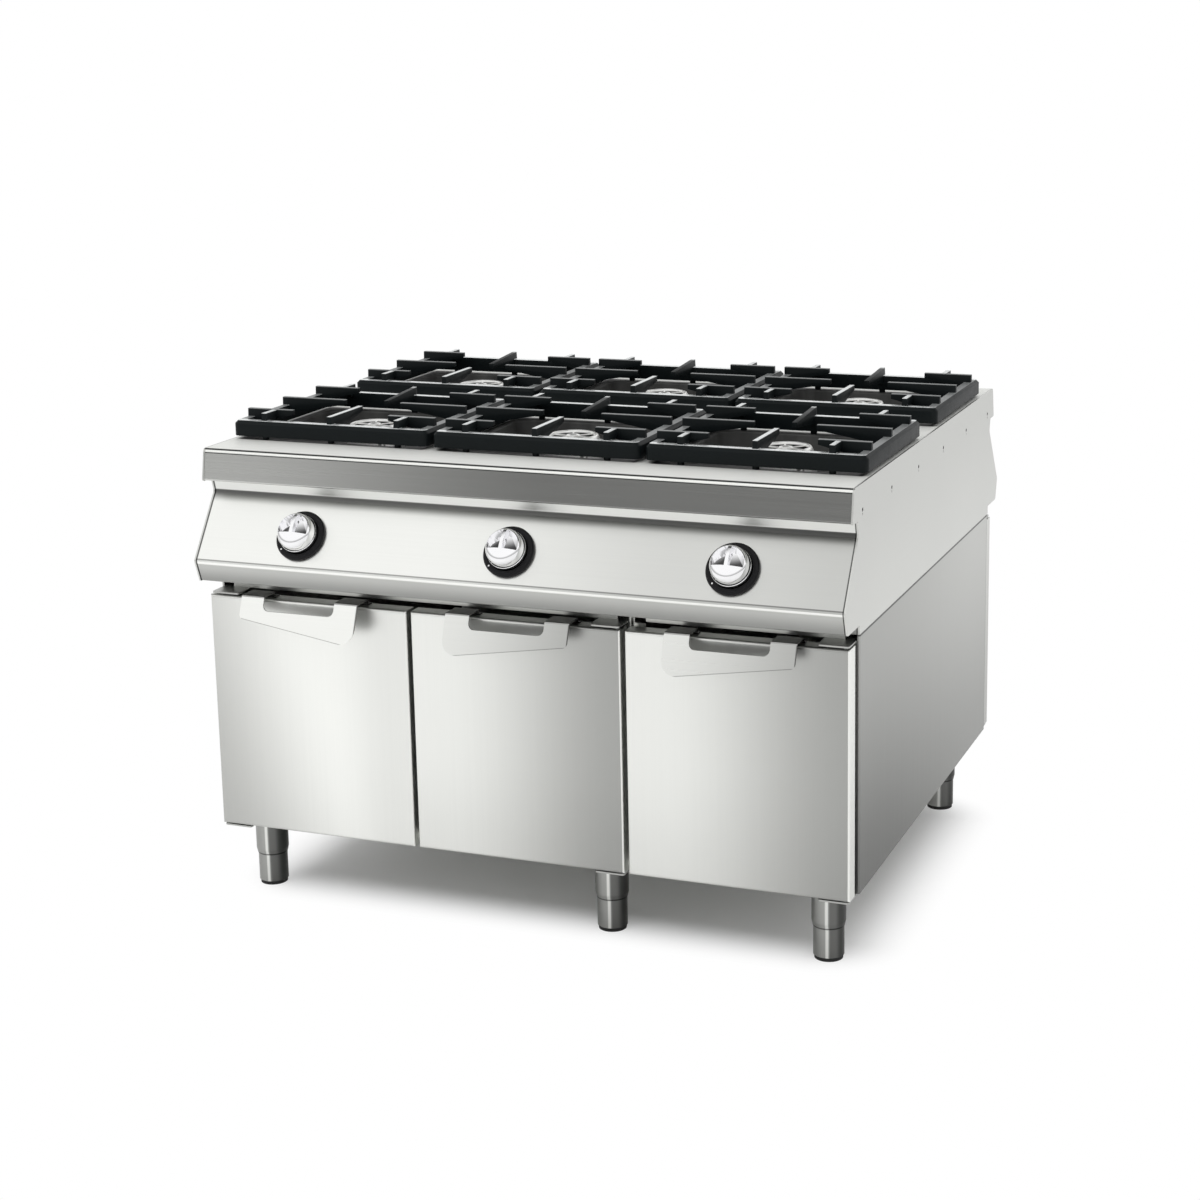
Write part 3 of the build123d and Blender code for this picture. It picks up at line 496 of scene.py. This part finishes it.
def crown_finish():
    """Bright sandy alloy, with painted shade inside the bore."""
    crown = Finish("bright cast crown", Metallic=1.0)
    skin = crown.skin(500.0, 50.0, 0.6)
    across, along = crown.column_x(), crown.row_y()
    bore = (across * across + along * along).below(CROWN_INSIDE ** 2)
    # painted shade inside the bore, below the top
    inside = bore * crown.ramp(crown.z, (HEAD_TOP - 0.0052, HEAD_TOP - 0.0037), (1.0, 0.0))
    return crown.feed(
        Base_Color=crown.tone(ALLOY, skin.around(0.98, 0.24) * (1.0 - inside * 0.97)),
        Roughness=skin.around(0.36, 0.3),
        Normal=crown.bump(skin, 0.25, 0.0006),
    )


def brass_finish():
    brass = Finish("brass", Metallic=1.0)
    turned = brass.grain("x", FINE_GRAIN, 3.0)
    return brass.feed(
        Base_Color=brass.tone(BRASS, turned.around(1.0, 0.1)),
        Roughness=turned.around(0.3, 0.16),
    )


def chrome_finish():
    chrome = Finish("chrome", Metallic=1.0)
    film = chrome.noise(18.0, 3.0)
    return chrome.feed(
        Base_Color=chrome.tone(CHROME, film.around(1.0, 0.04)),
        Roughness=film.around(0.06, 0.04),
    )


def black_plastic_finish():
    black = Finish("black moulding", Specular_IOR_Level=0.15)
    texture = black.noise(900.0, 3.0)
    return black.feed(
        Base_Color=black.tone(MOULDING_BLACK, texture.around(1.0, 0.4)),
        Roughness=texture.around(0.4, 0.2),
        Normal=black.bump(texture, 0.15, 0.0002),
    )


def white_print_finish():
    ink = Finish("white print")
    speck = ink.noise(700.0, 2.0)
    return ink.feed(
        Base_Color=ink.tone(PRINT_WHITE, speck.around(1.0, 0.1)),
        Roughness=speck.around(0.5, 0.1),
    )


def make_finishes():
    return {
        "worktop": brushed("worktop steel", "x", worktop_shade, roughness=0.25, dull=worktop_dull),
        "console": brushed("console steel", "x", console_shade, roughness=0.33),
        "door": brushed("door steel", "z", door_shade, roughness=0.36, streaks=0.08),
        "handle": brushed("handle steel", "x", handle_shade, roughness=0.3),
        "sheet_along": brushed("steel brushed along", "x", plain_shade(0.7), roughness=0.33),
        "sheet_upright": brushed("steel brushed upright", "z", plain_shade(0.7), roughness=0.34),
        "upper_side": brushed("upper side steel", "y", upper_side_shade, roughness=0.38),
        "lower_side": brushed("lower side steel", "z", lower_side_shade, roughness=0.38),
        "leg_tube": brushed("leg tube steel", "z", tube_shade, roughness=0.3, streaks=0.2),
        "bracket": brushed("steel bracket", "x", plain_shade(0.5), roughness=0.4),
        "pipe": brushed("plated pipe", "x", plain_shade(0.5), roughness=0.35),
        "pilot_steel": brushed("pilot steel", "z", plain_shade(0.5), roughness=0.35),
        "foot": foot_finish(),
        "cast_iron": cast_iron_finish(),
        "burner_iron": burner_iron_finish(),
        "burner_alloy": crown_finish(),
        "brass": brass_finish(),
        "chrome": chrome_finish(),
        "black_plastic": black_plastic_finish(),
        "white_print": white_print_finish(),
    }


# How each solid's name starts, and its finish
NODE_FINISHES = {
    "worktop": "worktop",
    "console": "console",
    "top_side": "upper_side",
    "cabinet_side": "lower_side",
    "burner_box_floor": "sheet_along",
    "burner_heads": "burner_alloy",
    "burner_bodies": "burner_iron",
    "gas_valves": "brass",
    "gas_pipework": "pipe",
    "knob_bezels": "black_plastic",
    "cabinet_dividers": "sheet_upright",
    "cabinet_floors": "sheet_along",
    "cabinet_top_rails": "sheet_along",
    "leg_tubes": "leg_tube",
    "hinge_brackets": "bracket",
    "door_handle": "handle",
    "door_shell": "door",
    "door_liner": "sheet_upright",
    "grate": "cast_iron",
    "spindle": "bracket",
    "knob_": "chrome",
    "foot": "foot",
}


def dress_nodes():
    """Gives each carried-over solid the finish of its kind."""
    for name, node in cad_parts.items():
        finish = next(finish for start, finish in NODE_FINISHES.items() if name.startswith(start))
        node.data.materials.clear()
        node.data.materials.append(FINISHES[finish])


# Modelling by hand

# A point this near to a plane counts as on it
NEAR = 0.0001


def add(primitive, name, **settings):
    """Adds a primitive as the only thing selected, with its size and place in its mesh."""
    bpy.ops.object.select_all(action="DESELECT")
    getattr(bpy.ops.mesh, f"primitive_{primitive}_add")(**settings)
    piece = bpy.context.object
    piece.name = name
    bpy.ops.object.transform_apply(location=True, rotation=True, scale=True)
    return piece


def block(name, low, high):
    """A box between two corners, to shape from."""
    low, high = Vector(low), Vector(high)
    return add("cube", name, size=1.0, location=(low + high) / 2, scale=high - low)


def rod(name, start, end, radius, sides=24):
    """A round bar between two points."""
    start, end = Vector(start), Vector(end)
    turn = (end - start).to_track_quat("Z", "Y").to_euler()
    return add(
        "cylinder", name, vertices=sides, radius=radius, depth=(end - start).length,
        location=(start + end) / 2, rotation=turn,
    )


def select(piece):
    """Makes a piece the only one selected, and the active one."""
    bpy.ops.object.select_all(action="DESELECT")
    piece.select_set(True)
    bpy.context.view_layer.objects.active = piece


def choose(piece, kind, test):
    """Opens a piece in edit mode and selects its vertices, edges or faces whose box passes a test."""
    if bpy.context.object.mode != "EDIT":
        select(piece)
        bpy.ops.object.mode_set(mode="EDIT")
    bpy.ops.mesh.select_mode(type=kind)
    bpy.ops.mesh.select_all(action="DESELECT")
    cage = bmesh.from_edit_mesh(piece.data)
    parts = {"VERT": cage.verts, "EDGE": cage.edges, "FACE": cage.faces}[kind]
    for part in parts:
        points = [part.co] if kind == "VERT" else [corner.co for corner in part.verts]
        low = Vector(min(point[i] for point in points) for i in range(3))
        high = Vector(max(point[i] for point in points) for i in range(3))
        part.select_set(test(low, high))
    bmesh.update_edit_mesh(piece.data)


def done(piece):
    """Leaves edit mode."""
    bpy.ops.object.mode_set(mode="OBJECT")
    return piece


def modify(piece, kind, **settings):
    """Adds a modifier and applies it."""
    select(piece)
    modifier = piece.modifiers.new(kind.lower(), kind)
    for name, value in settings.items():
        setattr(modifier, name, value)
    bpy.ops.object.modifier_apply(modifier=modifier.name)
    return piece


def bevel(piece, width, segments, angle):
    """Rounds every edge that is sharper than an angle."""
    return modify(
        piece, "BEVEL", width=width, segments=segments, limit_method="ANGLE", angle_limit=radians(angle),
    )


def combine(piece, other, operation="UNION"):
    """Welds another piece on, or cuts with it, and uses it up."""
    modify(piece, "BOOLEAN", operation=operation, solver="EXACT", object=other)
    bpy.data.objects.remove(other)
    return piece


def smooth(piece, angle):
    select(piece)
    bpy.ops.object.shade_smooth_by_angle(angle=radians(angle))
    return piece


def place_copy(piece, name, matrix):
    """A copy of a finished piece with its own mesh, moved by a matrix that goes into the mesh."""
    copy = piece.copy()
    copy.data = piece.data.copy()
    copy.name = name
    bpy.context.scene.collection.objects.link(copy)
    copy.data.transform(matrix)
    return copy


def fit(piece, finish, slot, body, *nodes):
    """Gives a piece its finish, and lets it ride on a body in the place of solids; its slot is not used."""
    piece.data.materials.clear()
    piece.data.materials.append(FINISHES[finish])
    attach(piece, body)
    if nodes:
        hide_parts(*nodes)


def burner_places():
    """The name, x and side of each burner, knob and grate."""
    return [(f"{row}_{column}", x, side) for row, side in SIDES.items() for column, x in COLUMNS.items()]


def spun(name, profile, steps):
    """A solid turned from a profile of radius and height points that starts and ends on the axis or closes."""
    piece = add("plane", name)
    bpy.ops.object.mode_set(mode="EDIT")
    bpy.ops.mesh.select_all(action="SELECT")
    bpy.ops.mesh.delete(type="VERT")
    cage = bmesh.from_edit_mesh(piece.data)
    corners = [cage.verts.new((radius, 0, height)) for radius, height in profile]
    for first, second in zip(corners, corners[1:]):
        cage.edges.new((first, second))
    bmesh.update_edit_mesh(piece.data)
    bpy.ops.mesh.select_all(action="SELECT")
    bpy.ops.mesh.spin(steps=steps, angle=2 * pi, center=(0, 0, 0), axis=(0, 0, 1))
    bpy.ops.mesh.select_all(action="SELECT")
    bpy.ops.mesh.remove_doubles(threshold=NEAR / 10)
    bpy.ops.mesh.normals_make_consistent(inside=False)
    return done(piece)


# Grates

GRATE_HALF = Vector((0.195, 0.175, 0))
GRATE_CORNER = 0.012
RAIL_WIDTH = 0.020
RAIL_BOTTOM = 0.8562
RAIL_TOP = 0.8842
RAIL_CHAMFER = 0.006
NUB_BOTTOM = 0.8502
NUB_RADIUS = 0.006
FINGER_TOP = 0.8992
FINGER_HALF = 0.006
FINGER_ROOT = RAIL_BOTTOM + 0.012
FINGER_TIP_DEPTH = 0.009
FINGER_INSET = 0.006
FINGER_SLIM = 0.72
FINGER_DIP = 0.0003
REAR_FINGER_FALL = 0.008
CORNER_FINGER_X = 0.133
CORNER_FINGER_Y = 0.125
# Each finger's place along its rail, and how far from the burner's axis it ends
SIDE_FINGERS = ((-CORNER_FINGER_Y, 0.097), (0.0, 0.057), (CORNER_FINGER_Y, 0.097))
ROW_FINGERS = ((-CORNER_FINGER_X, CORNER_FINGER_Y), (0.0, 0.050), (CORNER_FINGER_X, CORNER_FINGER_Y))


def trim(piece, point, normal):
    """Cuts away what lies beyond a plane and closes the cut."""
    choose(piece, "FACE", lambda low, high: True)
    bpy.ops.mesh.bisect(plane_co=point, plane_no=normal, use_fill=True, clear_outer=True)
    return done(piece)


def model_finger(along, offset, root, tip, fall=0.0):
    """A finger from the rail at root to its tip over the burner, shallower towards the tip and slimmer on top."""
    across = 1 - along
    top = FINGER_TOP - along * FINGER_DIP
    low, high = Vector((0, 0, FINGER_ROOT)), Vector((0, 0, top))
    low[along], high[along] = sorted((root, tip))
    low[across], high[across] = offset - FINGER_HALF, offset + FINGER_HALF
    finger = block("finger", low, high)
    choose(finger, "VERT", lambda low, high: low.z > top - NEAR)
    slim, middle = Vector((1, 1, 1)), Vector((0, 0, top))
    slim[across], middle[across] = FINGER_SLIM, offset
    bpy.ops.transform.resize(value=slim, center_override=middle)
    done(finger)
    reach = tip - root
    inwards = 1 if reach > 0 else -1
    under = Vector((0, 0, -abs(reach)))
    under[along] = (top - fall - FINGER_TIP_DEPTH - FINGER_ROOT) * inwards
    foot = Vector((0, 0, FINGER_ROOT))
    foot[along] = root
    trim(finger, foot, under)
    if fall:
        over = Vector((0, 0, abs(reach)))
        over[along] = fall * inwards
        foot.z = top
        trim(finger, foot, over)
    return finger


def model_grate():
    """One casting round the origin: a chamfered rail frame on nubs, and fingers that reach over the burner."""
    grate = block("grate", -GRATE_HALF + Vector((0, 0, RAIL_BOTTOM)), GRATE_HALF + Vector((0, 0, RAIL_TOP)))
    choose(grate, "EDGE", lambda low, high: high.z - low.z > NEAR)
    bpy.ops.mesh.bevel(offset=GRATE_CORNER, segments=5, affect="EDGES")
    choose(grate, "EDGE", lambda low, high: low.z > RAIL_TOP - NEAR)
    bpy.ops.mesh.bevel(offset=RAIL_CHAMFER, segments=1, affect="EDGES")
    done(grate)
    hole = GRATE_HALF - Vector((RAIL_WIDTH, RAIL_WIDTH, 0))
    combine(grate, block("hole", -hole, hole + Vector((0, 0, 1))), "DIFFERENCE")
    for side in SIDES.values():
        root_x = side * (GRATE_HALF.x - FINGER_INSET)
        root_y = side * (GRATE_HALF.y - FINGER_INSET)
        for y, tip in SIDE_FINGERS:
            combine(grate, model_finger(0, y, root_x, side * tip))
        for x, tip in ROW_FINGERS:
            fall = REAR_FINGER_FALL if side > 0 and x == 0.0 else 0.0
            combine(grate, model_finger(1, x, root_y, side * tip, fall))
        for x, tip in ROW_FINGERS:
            y = side * (GRATE_HALF.y - RAIL_WIDTH / 2)
            combine(grate, rod("nub", (x, y, NUB_BOTTOM), (x, y, RAIL_BOTTOM + RAIL_CHAMFER), NUB_RADIUS))
    bevel(grate, width=0.0013, segments=2, angle=30)
    modify(grate, "TRIANGULATE", min_vertices=5)
    return smooth(grate, 40)


def make_grates():
    grate = model_grate()
    for place, x, side in burner_places():
        copy = place_copy(grate, f"cast_grate_{place}", Matrix.Translation((x, side * BURNER_ROW, 0)))
        fit(copy, "cast_iron", "cast_iron", f"grate_{place}", f"grate_{place}")
    bpy.data.objects.remove(grate)


# Knobs and bezels, modelled on the floor with their axis upright and their pointer towards +Y

KNOB_SEAT = 0.0071
KNOB_AXIS_OUT = 0.82405
KNOB_AXIS_UP = 0.56653
KNOB_Y = 0.51666
KNOB_Z = 0.70575
KNOB_STEPS = 96
# Radius and height
KNOB_RIM = [(0, 0), (0.0335, 0), (0.035, 0.0012), (0.035, 0.0085), (0.0342, 0.0098), (0.0342, 0.0118)]
KNOB_TOP = [(0.012, 0.0342), (0, 0.0348)]
KNOB_SHOULDER = {"centre": (0.0195, 0.0185), "radius": 0.0135, "start": 12, "end": 76, "steps": 14}
RIDGE_HALF = 0.0036
RIDGE_TAPER = 0.0016
POCKET_START = -0.0075
POCKET_FLOOR = 0.0265
POCKET_TOP = 0.050
POCKET_OUT = 0.040
POCKET_REACH = 0.0285
POCKET_FALL = Vector((0, 0, -0.0135))
POCKET_TILT = Vector((0, 0, -0.004))
BEZEL_PROFILE = [
    (0.0082, 0.0025), (0.0082, 0.0003), (0.0455, 0.0003), (0.046, 0.0008), (0.046, 0.0052), (0.0437, 0.0078),
    (0.0430, 0.0080), (0.0392, 0.0080), (0.0388, 0.0076), (0.0380, 0.0076), (0.0376, 0.0080), (0.0364, 0.0080),
    (0.0358, 0.0074), (0.0358, 0.0025), (0.0082, 0.0025),
]
MARK_PLACE = (-0.0288, -0.0288, 0.0080)
MARK_RADIUS = 0.0016
MARK_DEPTH = 0.0005


def face_matrix(x, side, depth=0.0):
    """Carries a piece from the floor onto the slanted console, with its pointer up the slant."""
    out = Vector((0, side * KNOB_AXIS_OUT, KNOB_AXIS_UP))
    up = Vector((0, -side * KNOB_AXIS_UP, KNOB_AXIS_OUT))
    turn = Matrix((up.cross(out), up, out)).transposed().to_4x4()
    return Matrix.Translation(Vector((x, side * KNOB_Y, KNOB_Z)) + out * depth) @ turn


def arc(centre, radius, start, end, steps):
    """Profile points on an arc, angles in degrees from the radial direction towards the axis direction."""
    turns = [radians(start + (end - start) * i / steps) for i in range(steps + 1)]
    return [(centre[0] + radius * cos(turn), centre[1] + radius * sin(turn)) for turn in turns]


def model_pocket(hand):
    """The hollow on one side of the pointer ridge, deeper towards the pointer's end and outwards."""
    near, far = sorted((hand * RIDGE_HALF, hand * POCKET_OUT))
    pocket = block("pocket", (near, POCKET_START, POCKET_FLOOR), (far, POCKET_OUT, POCKET_TOP))
    choose(pocket, "VERT", lambda low, high: high.z < POCKET_FLOOR + NEAR and high.y > POCKET_OUT - NEAR)
    bpy.ops.transform.translate(value=POCKET_FALL)
    choose(pocket, "VERT", lambda low, high: high.z < POCKET_FLOOR + NEAR and abs(high.x) > POCKET_OUT - NEAR)
    bpy.ops.transform.translate(value=POCKET_TILT)
    choose(pocket, "VERT", lambda low, high: high.z > POCKET_TOP - NEAR and abs(high.x) < RIDGE_HALF + NEAR)
    bpy.ops.transform.translate(value=(-hand * RIDGE_TAPER, 0, 0))
    done(pocket)
    return combine(pocket, rod("reach", (0, 0, 0.005), (0, 0, 0.06), POCKET_REACH, KNOB_STEPS), "INTERSECT")


def model_knob():
    """Chromed dome with a pocket on each side of a pointer ridge and a rolled rim."""
    knob = spun("knob", KNOB_RIM + arc(**KNOB_SHOULDER) + KNOB_TOP, KNOB_STEPS)
    for hand in (-1, 1):
        combine(knob, model_pocket(hand), "DIFFERENCE")
    bevel(knob, width=0.0009, segments=3, angle=28)
    return smooth(knob, 32)


def model_mark():
    """The white off mark on the bezel's face."""
    mark = add("cylinder", "dot", vertices=20, radius=MARK_RADIUS, depth=MARK_DEPTH, location=MARK_PLACE)
    return modify(mark, "BEVEL", width=0.00015, segments=1)


def make_knobs():
    """Knobs on black rings, each with a chamfered rim, a stepped bore and a shallow groove round its face."""
    knob, bezel, mark = model_knob(), smooth(spun("bezel", BEZEL_PROFILE, KNOB_STEPS), 25), model_mark()
    for place, x, side in burner_places():
        cap = place_copy(knob, f"chrome_knob_{place}", face_matrix(x, side, KNOB_SEAT))
        fit(cap, "chrome", "chrome", f"knob_{place}", f"knob_{place}")
        ring = place_copy(bezel, f"bezel_{place}", face_matrix(x, side))
        fit(ring, "black_plastic", "black_plastic", "range_body", "knob_bezels")
        off = place_copy(mark, f"off_mark_{place}", face_matrix(x, side))
        fit(off, "white_print", "black_plastic", "range_body")
    for model in (knob, bezel, mark):
        bpy.data.objects.remove(model)


# Burners, modelled round the origin

HEAD_SEAT = 0.8122
HEAD_TOP = 0.8582
# Radius, and height over the seat or against the top
CROWN_FOOT = [(0.0383, 0), (0.054, 0), (0.054, 0.004), (0.0525, 0.006)]
CROWN_RING = [
    (0.0485, -0.018), (0.0500, -0.016), (0.0490, -0.010), (0.0458, -0.0022), (0.0440, 0), (0.0402, 0),
    (0.0392, -0.0008), (0.0383, -0.003),
]
HUB_PROFILE = [
    (0, -0.0095), (0.011, -0.0095), (0.013, -0.0075), (0.013, -0.002), (0.0118, -0.0008), (0.009, -0.0008),
    (0.0070, -0.0025), (0.0035, -0.003), (0, -0.003),
]
COVER_PROFILE = [
    (0, 0.003), (0.0335, 0.003), (0.0335, 0.006), (0.030, 0.0075), (0.016, 0.010), (0.006, 0.0105), (0, 0.0105),
]
PROBE_PROFILE = [
    (0, 0.0002), (0.0022, 0.0002), (0.0022, 0.014), (0.0016, 0.0155), (0.0016, 0.024), (0.0006, 0.0255),
    (0, 0.0255),
]
SLOTS = 24
SLOT_LOW, SLOT_HIGH = Vector((0.044, -0.0013, -0.030)), Vector((0.060, 0.0013, -0.0195))
SPOKES = 6
SPOKE_TURN = -9
SPOKE_LOW, SPOKE_HIGH = Vector((0.008, -0.0024, -0.0085)), Vector((0.0395, 0.0024, -0.0026))
SPOKE_TAPER = 0.6
PILOT_DISTANCE = 0.078
PILOT_TURN = 52


def lifted(profile, height):
    return [(radius, height + up) for radius, up in profile]


def model_crown():
    """Bright burner crown: a flared ring with flame slots in its skirt, six spokes and a dished hub."""
    foot = lifted(CROWN_FOOT, HEAD_SEAT)
    top = Vector((0, 0, HEAD_TOP))
    crown = spun("crown", foot + lifted(CROWN_RING, HEAD_TOP) + foot[:1], 96)
    for i in range(SLOTS):
        slot = block("slot", SLOT_LOW + top, SLOT_HIGH + top)
        slot.data.transform(Matrix.Rotation(2 * pi * (i + 0.5) / SLOTS, 4, "Z"))
        combine(crown, slot, "DIFFERENCE")
    for i in range(SPOKES):
        spoke = block("spoke", SPOKE_LOW + top, SPOKE_HIGH + top)
        choose(spoke, "VERT", lambda low, high: high.z > HEAD_TOP + SPOKE_HIGH.z - NEAR)
        bpy.ops.transform.resize(value=(1, SPOKE_TAPER, 1), center_override=top)
        done(spoke).data.transform(Matrix.Rotation(2 * pi * i / SPOKES + radians(SPOKE_TURN), 4, "Z"))
        combine(crown, spoke)
    combine(crown, spun("hub", lifted(HUB_PROFILE, HEAD_TOP), 48))
    bevel(crown, width=0.0004, segments=1, angle=35)
    return smooth(crown, 32)


def model_cover():
    """Grey cap of the gas cup that closes the bore under the crown, with a low dome."""
    return smooth(spun("cover", lifted(COVER_PROFILE, HEAD_SEAT), 48), 40)


def model_pilot():
    """Pilot burner hood on a bracket, with a thermocouple beside it, on the well floor next to the crown."""
    base = WELL_FLOOR + 0.0002
    pilot = block("pilot", (-0.009, 0.0, base), (0.009, 0.014, WELL_FLOOR + 0.0018))
    combine(pilot, block("upright", (-0.009, 0.0, base), (0.009, 0.0018, WELL_FLOOR + 0.015)))
    combine(pilot, rod("tube", (-0.004, 0.006, base), (-0.004, 0.006, WELL_FLOOR + 0.021), 0.0034))
    combine(pilot, block("hood", (-0.0085, -0.004, WELL_FLOOR + 0.0205), (0.0005, 0.010, WELL_FLOOR + 0.0225)))
    probe = spun("probe", lifted(PROBE_PROFILE, WELL_FLOOR), 20)
    probe.data.transform(Matrix.Translation((0.0048, 0.006, 0)))
    combine(pilot, probe)
    bevel(pilot, width=0.0003, segments=1, angle=40)
    return smooth(pilot, 35)


def make_burners():
    crown, cover, pilot = model_crown(), model_cover(), model_pilot()
    for place, x, side in burner_places():
        spot = Matrix.Translation((x, side * BURNER_ROW, 0))
        turn = Matrix.Rotation(radians(90 + side * PILOT_TURN), 4, "Z")
        beside = spot @ turn @ Matrix.Translation((0, -PILOT_DISTANCE, 0))
        head = place_copy(crown, f"crown_{place}", spot)
        fit(head, "burner_alloy", "burner_alloy", "range_body", "burner_heads")
        fit(place_copy(cover, f"cup_cover_{place}", spot), "burner_iron", "burner_iron", "range_body")
        fit(place_copy(pilot, f"pilot_{place}", beside), "pilot_steel", "bracket_steel", "range_body")
    for model in (crown, cover, pilot):
        bpy.data.objects.remove(model)


# Studio

FLOOR_SIZE = 40.0
FLOOR_PAINT = (0.9, 0.9, 0.9, 1.0)
WHITE = (1.0, 1.0, 1.0, 1.0)
# The floor keeps its shadow in a box of this half size round the origin, and loses it over this distance
SHADOW_CORE = (0.5, 0.32)
SHADOW_REACH = 0.16
LAMP_PLACE = (-1.6, -2.6, 3.2)
LAMP_TARGET = (0, 0, 0.6)
LAMP_SIZE = (2.2, 1.6)
LAMP_POWER = 25


def make_floor():
    """A pale matt floor that keeps the shadow and runs out into the white of the background."""
    bpy.ops.mesh.primitive_plane_add(size=FLOOR_SIZE, location=(0, 0, 0))
    floor = bpy.context.object
    floor.name = "floor"
    material = bpy.data.materials.new("pale floor")
    material.use_nodes = True
    paint = Nodes(material.node_tree)
    place = paint.coordinates("Object")
    beside = (abs(paint.axis("X", place)) - SHADOW_CORE[0]).most(0.0)
    before = (abs(paint.axis("Y", place)) - SHADOW_CORE[1]).most(0.0)
    distance = (beside * beside + before * before) ** 0.5
    matt = paint.node("ShaderNodeBsdfDiffuse", {}, {"Color": FLOOR_PAINT})
    white = paint.node("ShaderNodeEmission", {}, {"Color": WHITE})
    far = paint.ramp(distance, (0.0, SHADOW_REACH)) * paint.rays("Camera")
    surface = paint.node("ShaderNodeMixShader", {}, {0: far, 1: matt, 2: white})
    paint.node("ShaderNodeOutputMaterial", {}, {"Surface": surface})
    floor.data.materials.append(material)


def add_softbox():
    """The key light over the front left, which no metal mirrors."""
    lamp = bpy.data.lights.new("key", "AREA")
    lamp.shape = "RECTANGLE"
    lamp.size, lamp.size_y = LAMP_SIZE
    lamp.energy = LAMP_POWER
    box = bpy.data.objects.new("key", lamp)
    bpy.context.scene.collection.objects.link(box)
    box.visible_glossy = False
    direction = Vector(LAMP_TARGET) - Vector(LAMP_PLACE)
    turn = direction.to_track_quat("-Z", "Y").to_matrix().to_4x4()
    box.matrix_world = Matrix.Translation(LAMP_PLACE) @ turn


def make_world():
    """White surroundings, dimmer towards the horizon, with a dark ceiling that only metal mirrors."""
    world = bpy.data.worlds.new("studio")
    bpy.context.scene.world = world
    world.use_nodes = True
    room = Nodes(world.node_tree)
    direction = room.coordinates("Generated")
    height, depth = room.axis("Z", direction), room.axis("Y", direction)
    light = room.ramp(height, (0.0, 0.7), (0.25, 1.1))
    ceiling = room.ramp(depth, (-0.32, 0.08)) * room.ramp(height, (0.6, 0.8))
    walls = room.ramp(height, (0.06, 0.4), (0.5, 1.02)).most(room.ramp(depth, (-0.1, 0.5)))
    mirrored = walls * (1.0 - ceiling * 0.94)
    seen = room.rays("Camera").most(room.rays("Transmission"))
    level = room.blend(seen, room.blend(room.rays("Glossy"), light, mirrored), 1.0)
    background = room.node("ShaderNodeBackground", {}, {"Color": WHITE, "Strength": level})
    room.node("ShaderNodeOutputWorld", {}, {"Surface": background})


# Camera, fitted to the corners of the photographed range

CAMERA_PLACE = (1.5702, -3.9007, 1.6076)
CAMERA_AZIMUTH = radians(20.95)
CAMERA_PITCH = radians(11.84)
CAMERA_ROLL = radians(-0.88)
CAMERA_LENS = 67.87
CAMERA_SENSOR = 36.0
CAMERA_SHIFT = (-0.05, -0.10)


def make_camera():
    level = Vector((cos(CAMERA_AZIMUTH), sin(CAMERA_AZIMUTH), 0))
    ahead = Vector((-sin(CAMERA_AZIMUTH), cos(CAMERA_AZIMUTH), 0))
    forward = ahead * cos(CAMERA_PITCH) - Vector((0, 0, sin(CAMERA_PITCH)))
    upright = level.cross(forward)
    right = cos(CAMERA_ROLL) * level + sin(CAMERA_ROLL) * upright
    up = cos(CAMERA_ROLL) * upright - sin(CAMERA_ROLL) * level
    lens = bpy.data.cameras.new("camera")
    lens.sensor_width = CAMERA_SENSOR
    lens.lens = CAMERA_LENS
    lens.shift_x, lens.shift_y = CAMERA_SHIFT
    camera = bpy.data.objects.new("camera", lens)
    bpy.context.scene.collection.objects.link(camera)
    turn = Matrix((right, up, -forward)).transposed().to_4x4()
    camera.matrix_world = Matrix.Translation(CAMERA_PLACE) @ turn
    bpy.context.scene.camera = camera


FINISHES = make_finishes()
dress_nodes()
make_grates()
make_knobs()
make_burners()
make_floor()
make_world()
add_softbox()
make_camera()
bpy.context.scene.view_settings.view_transform = "Standard"
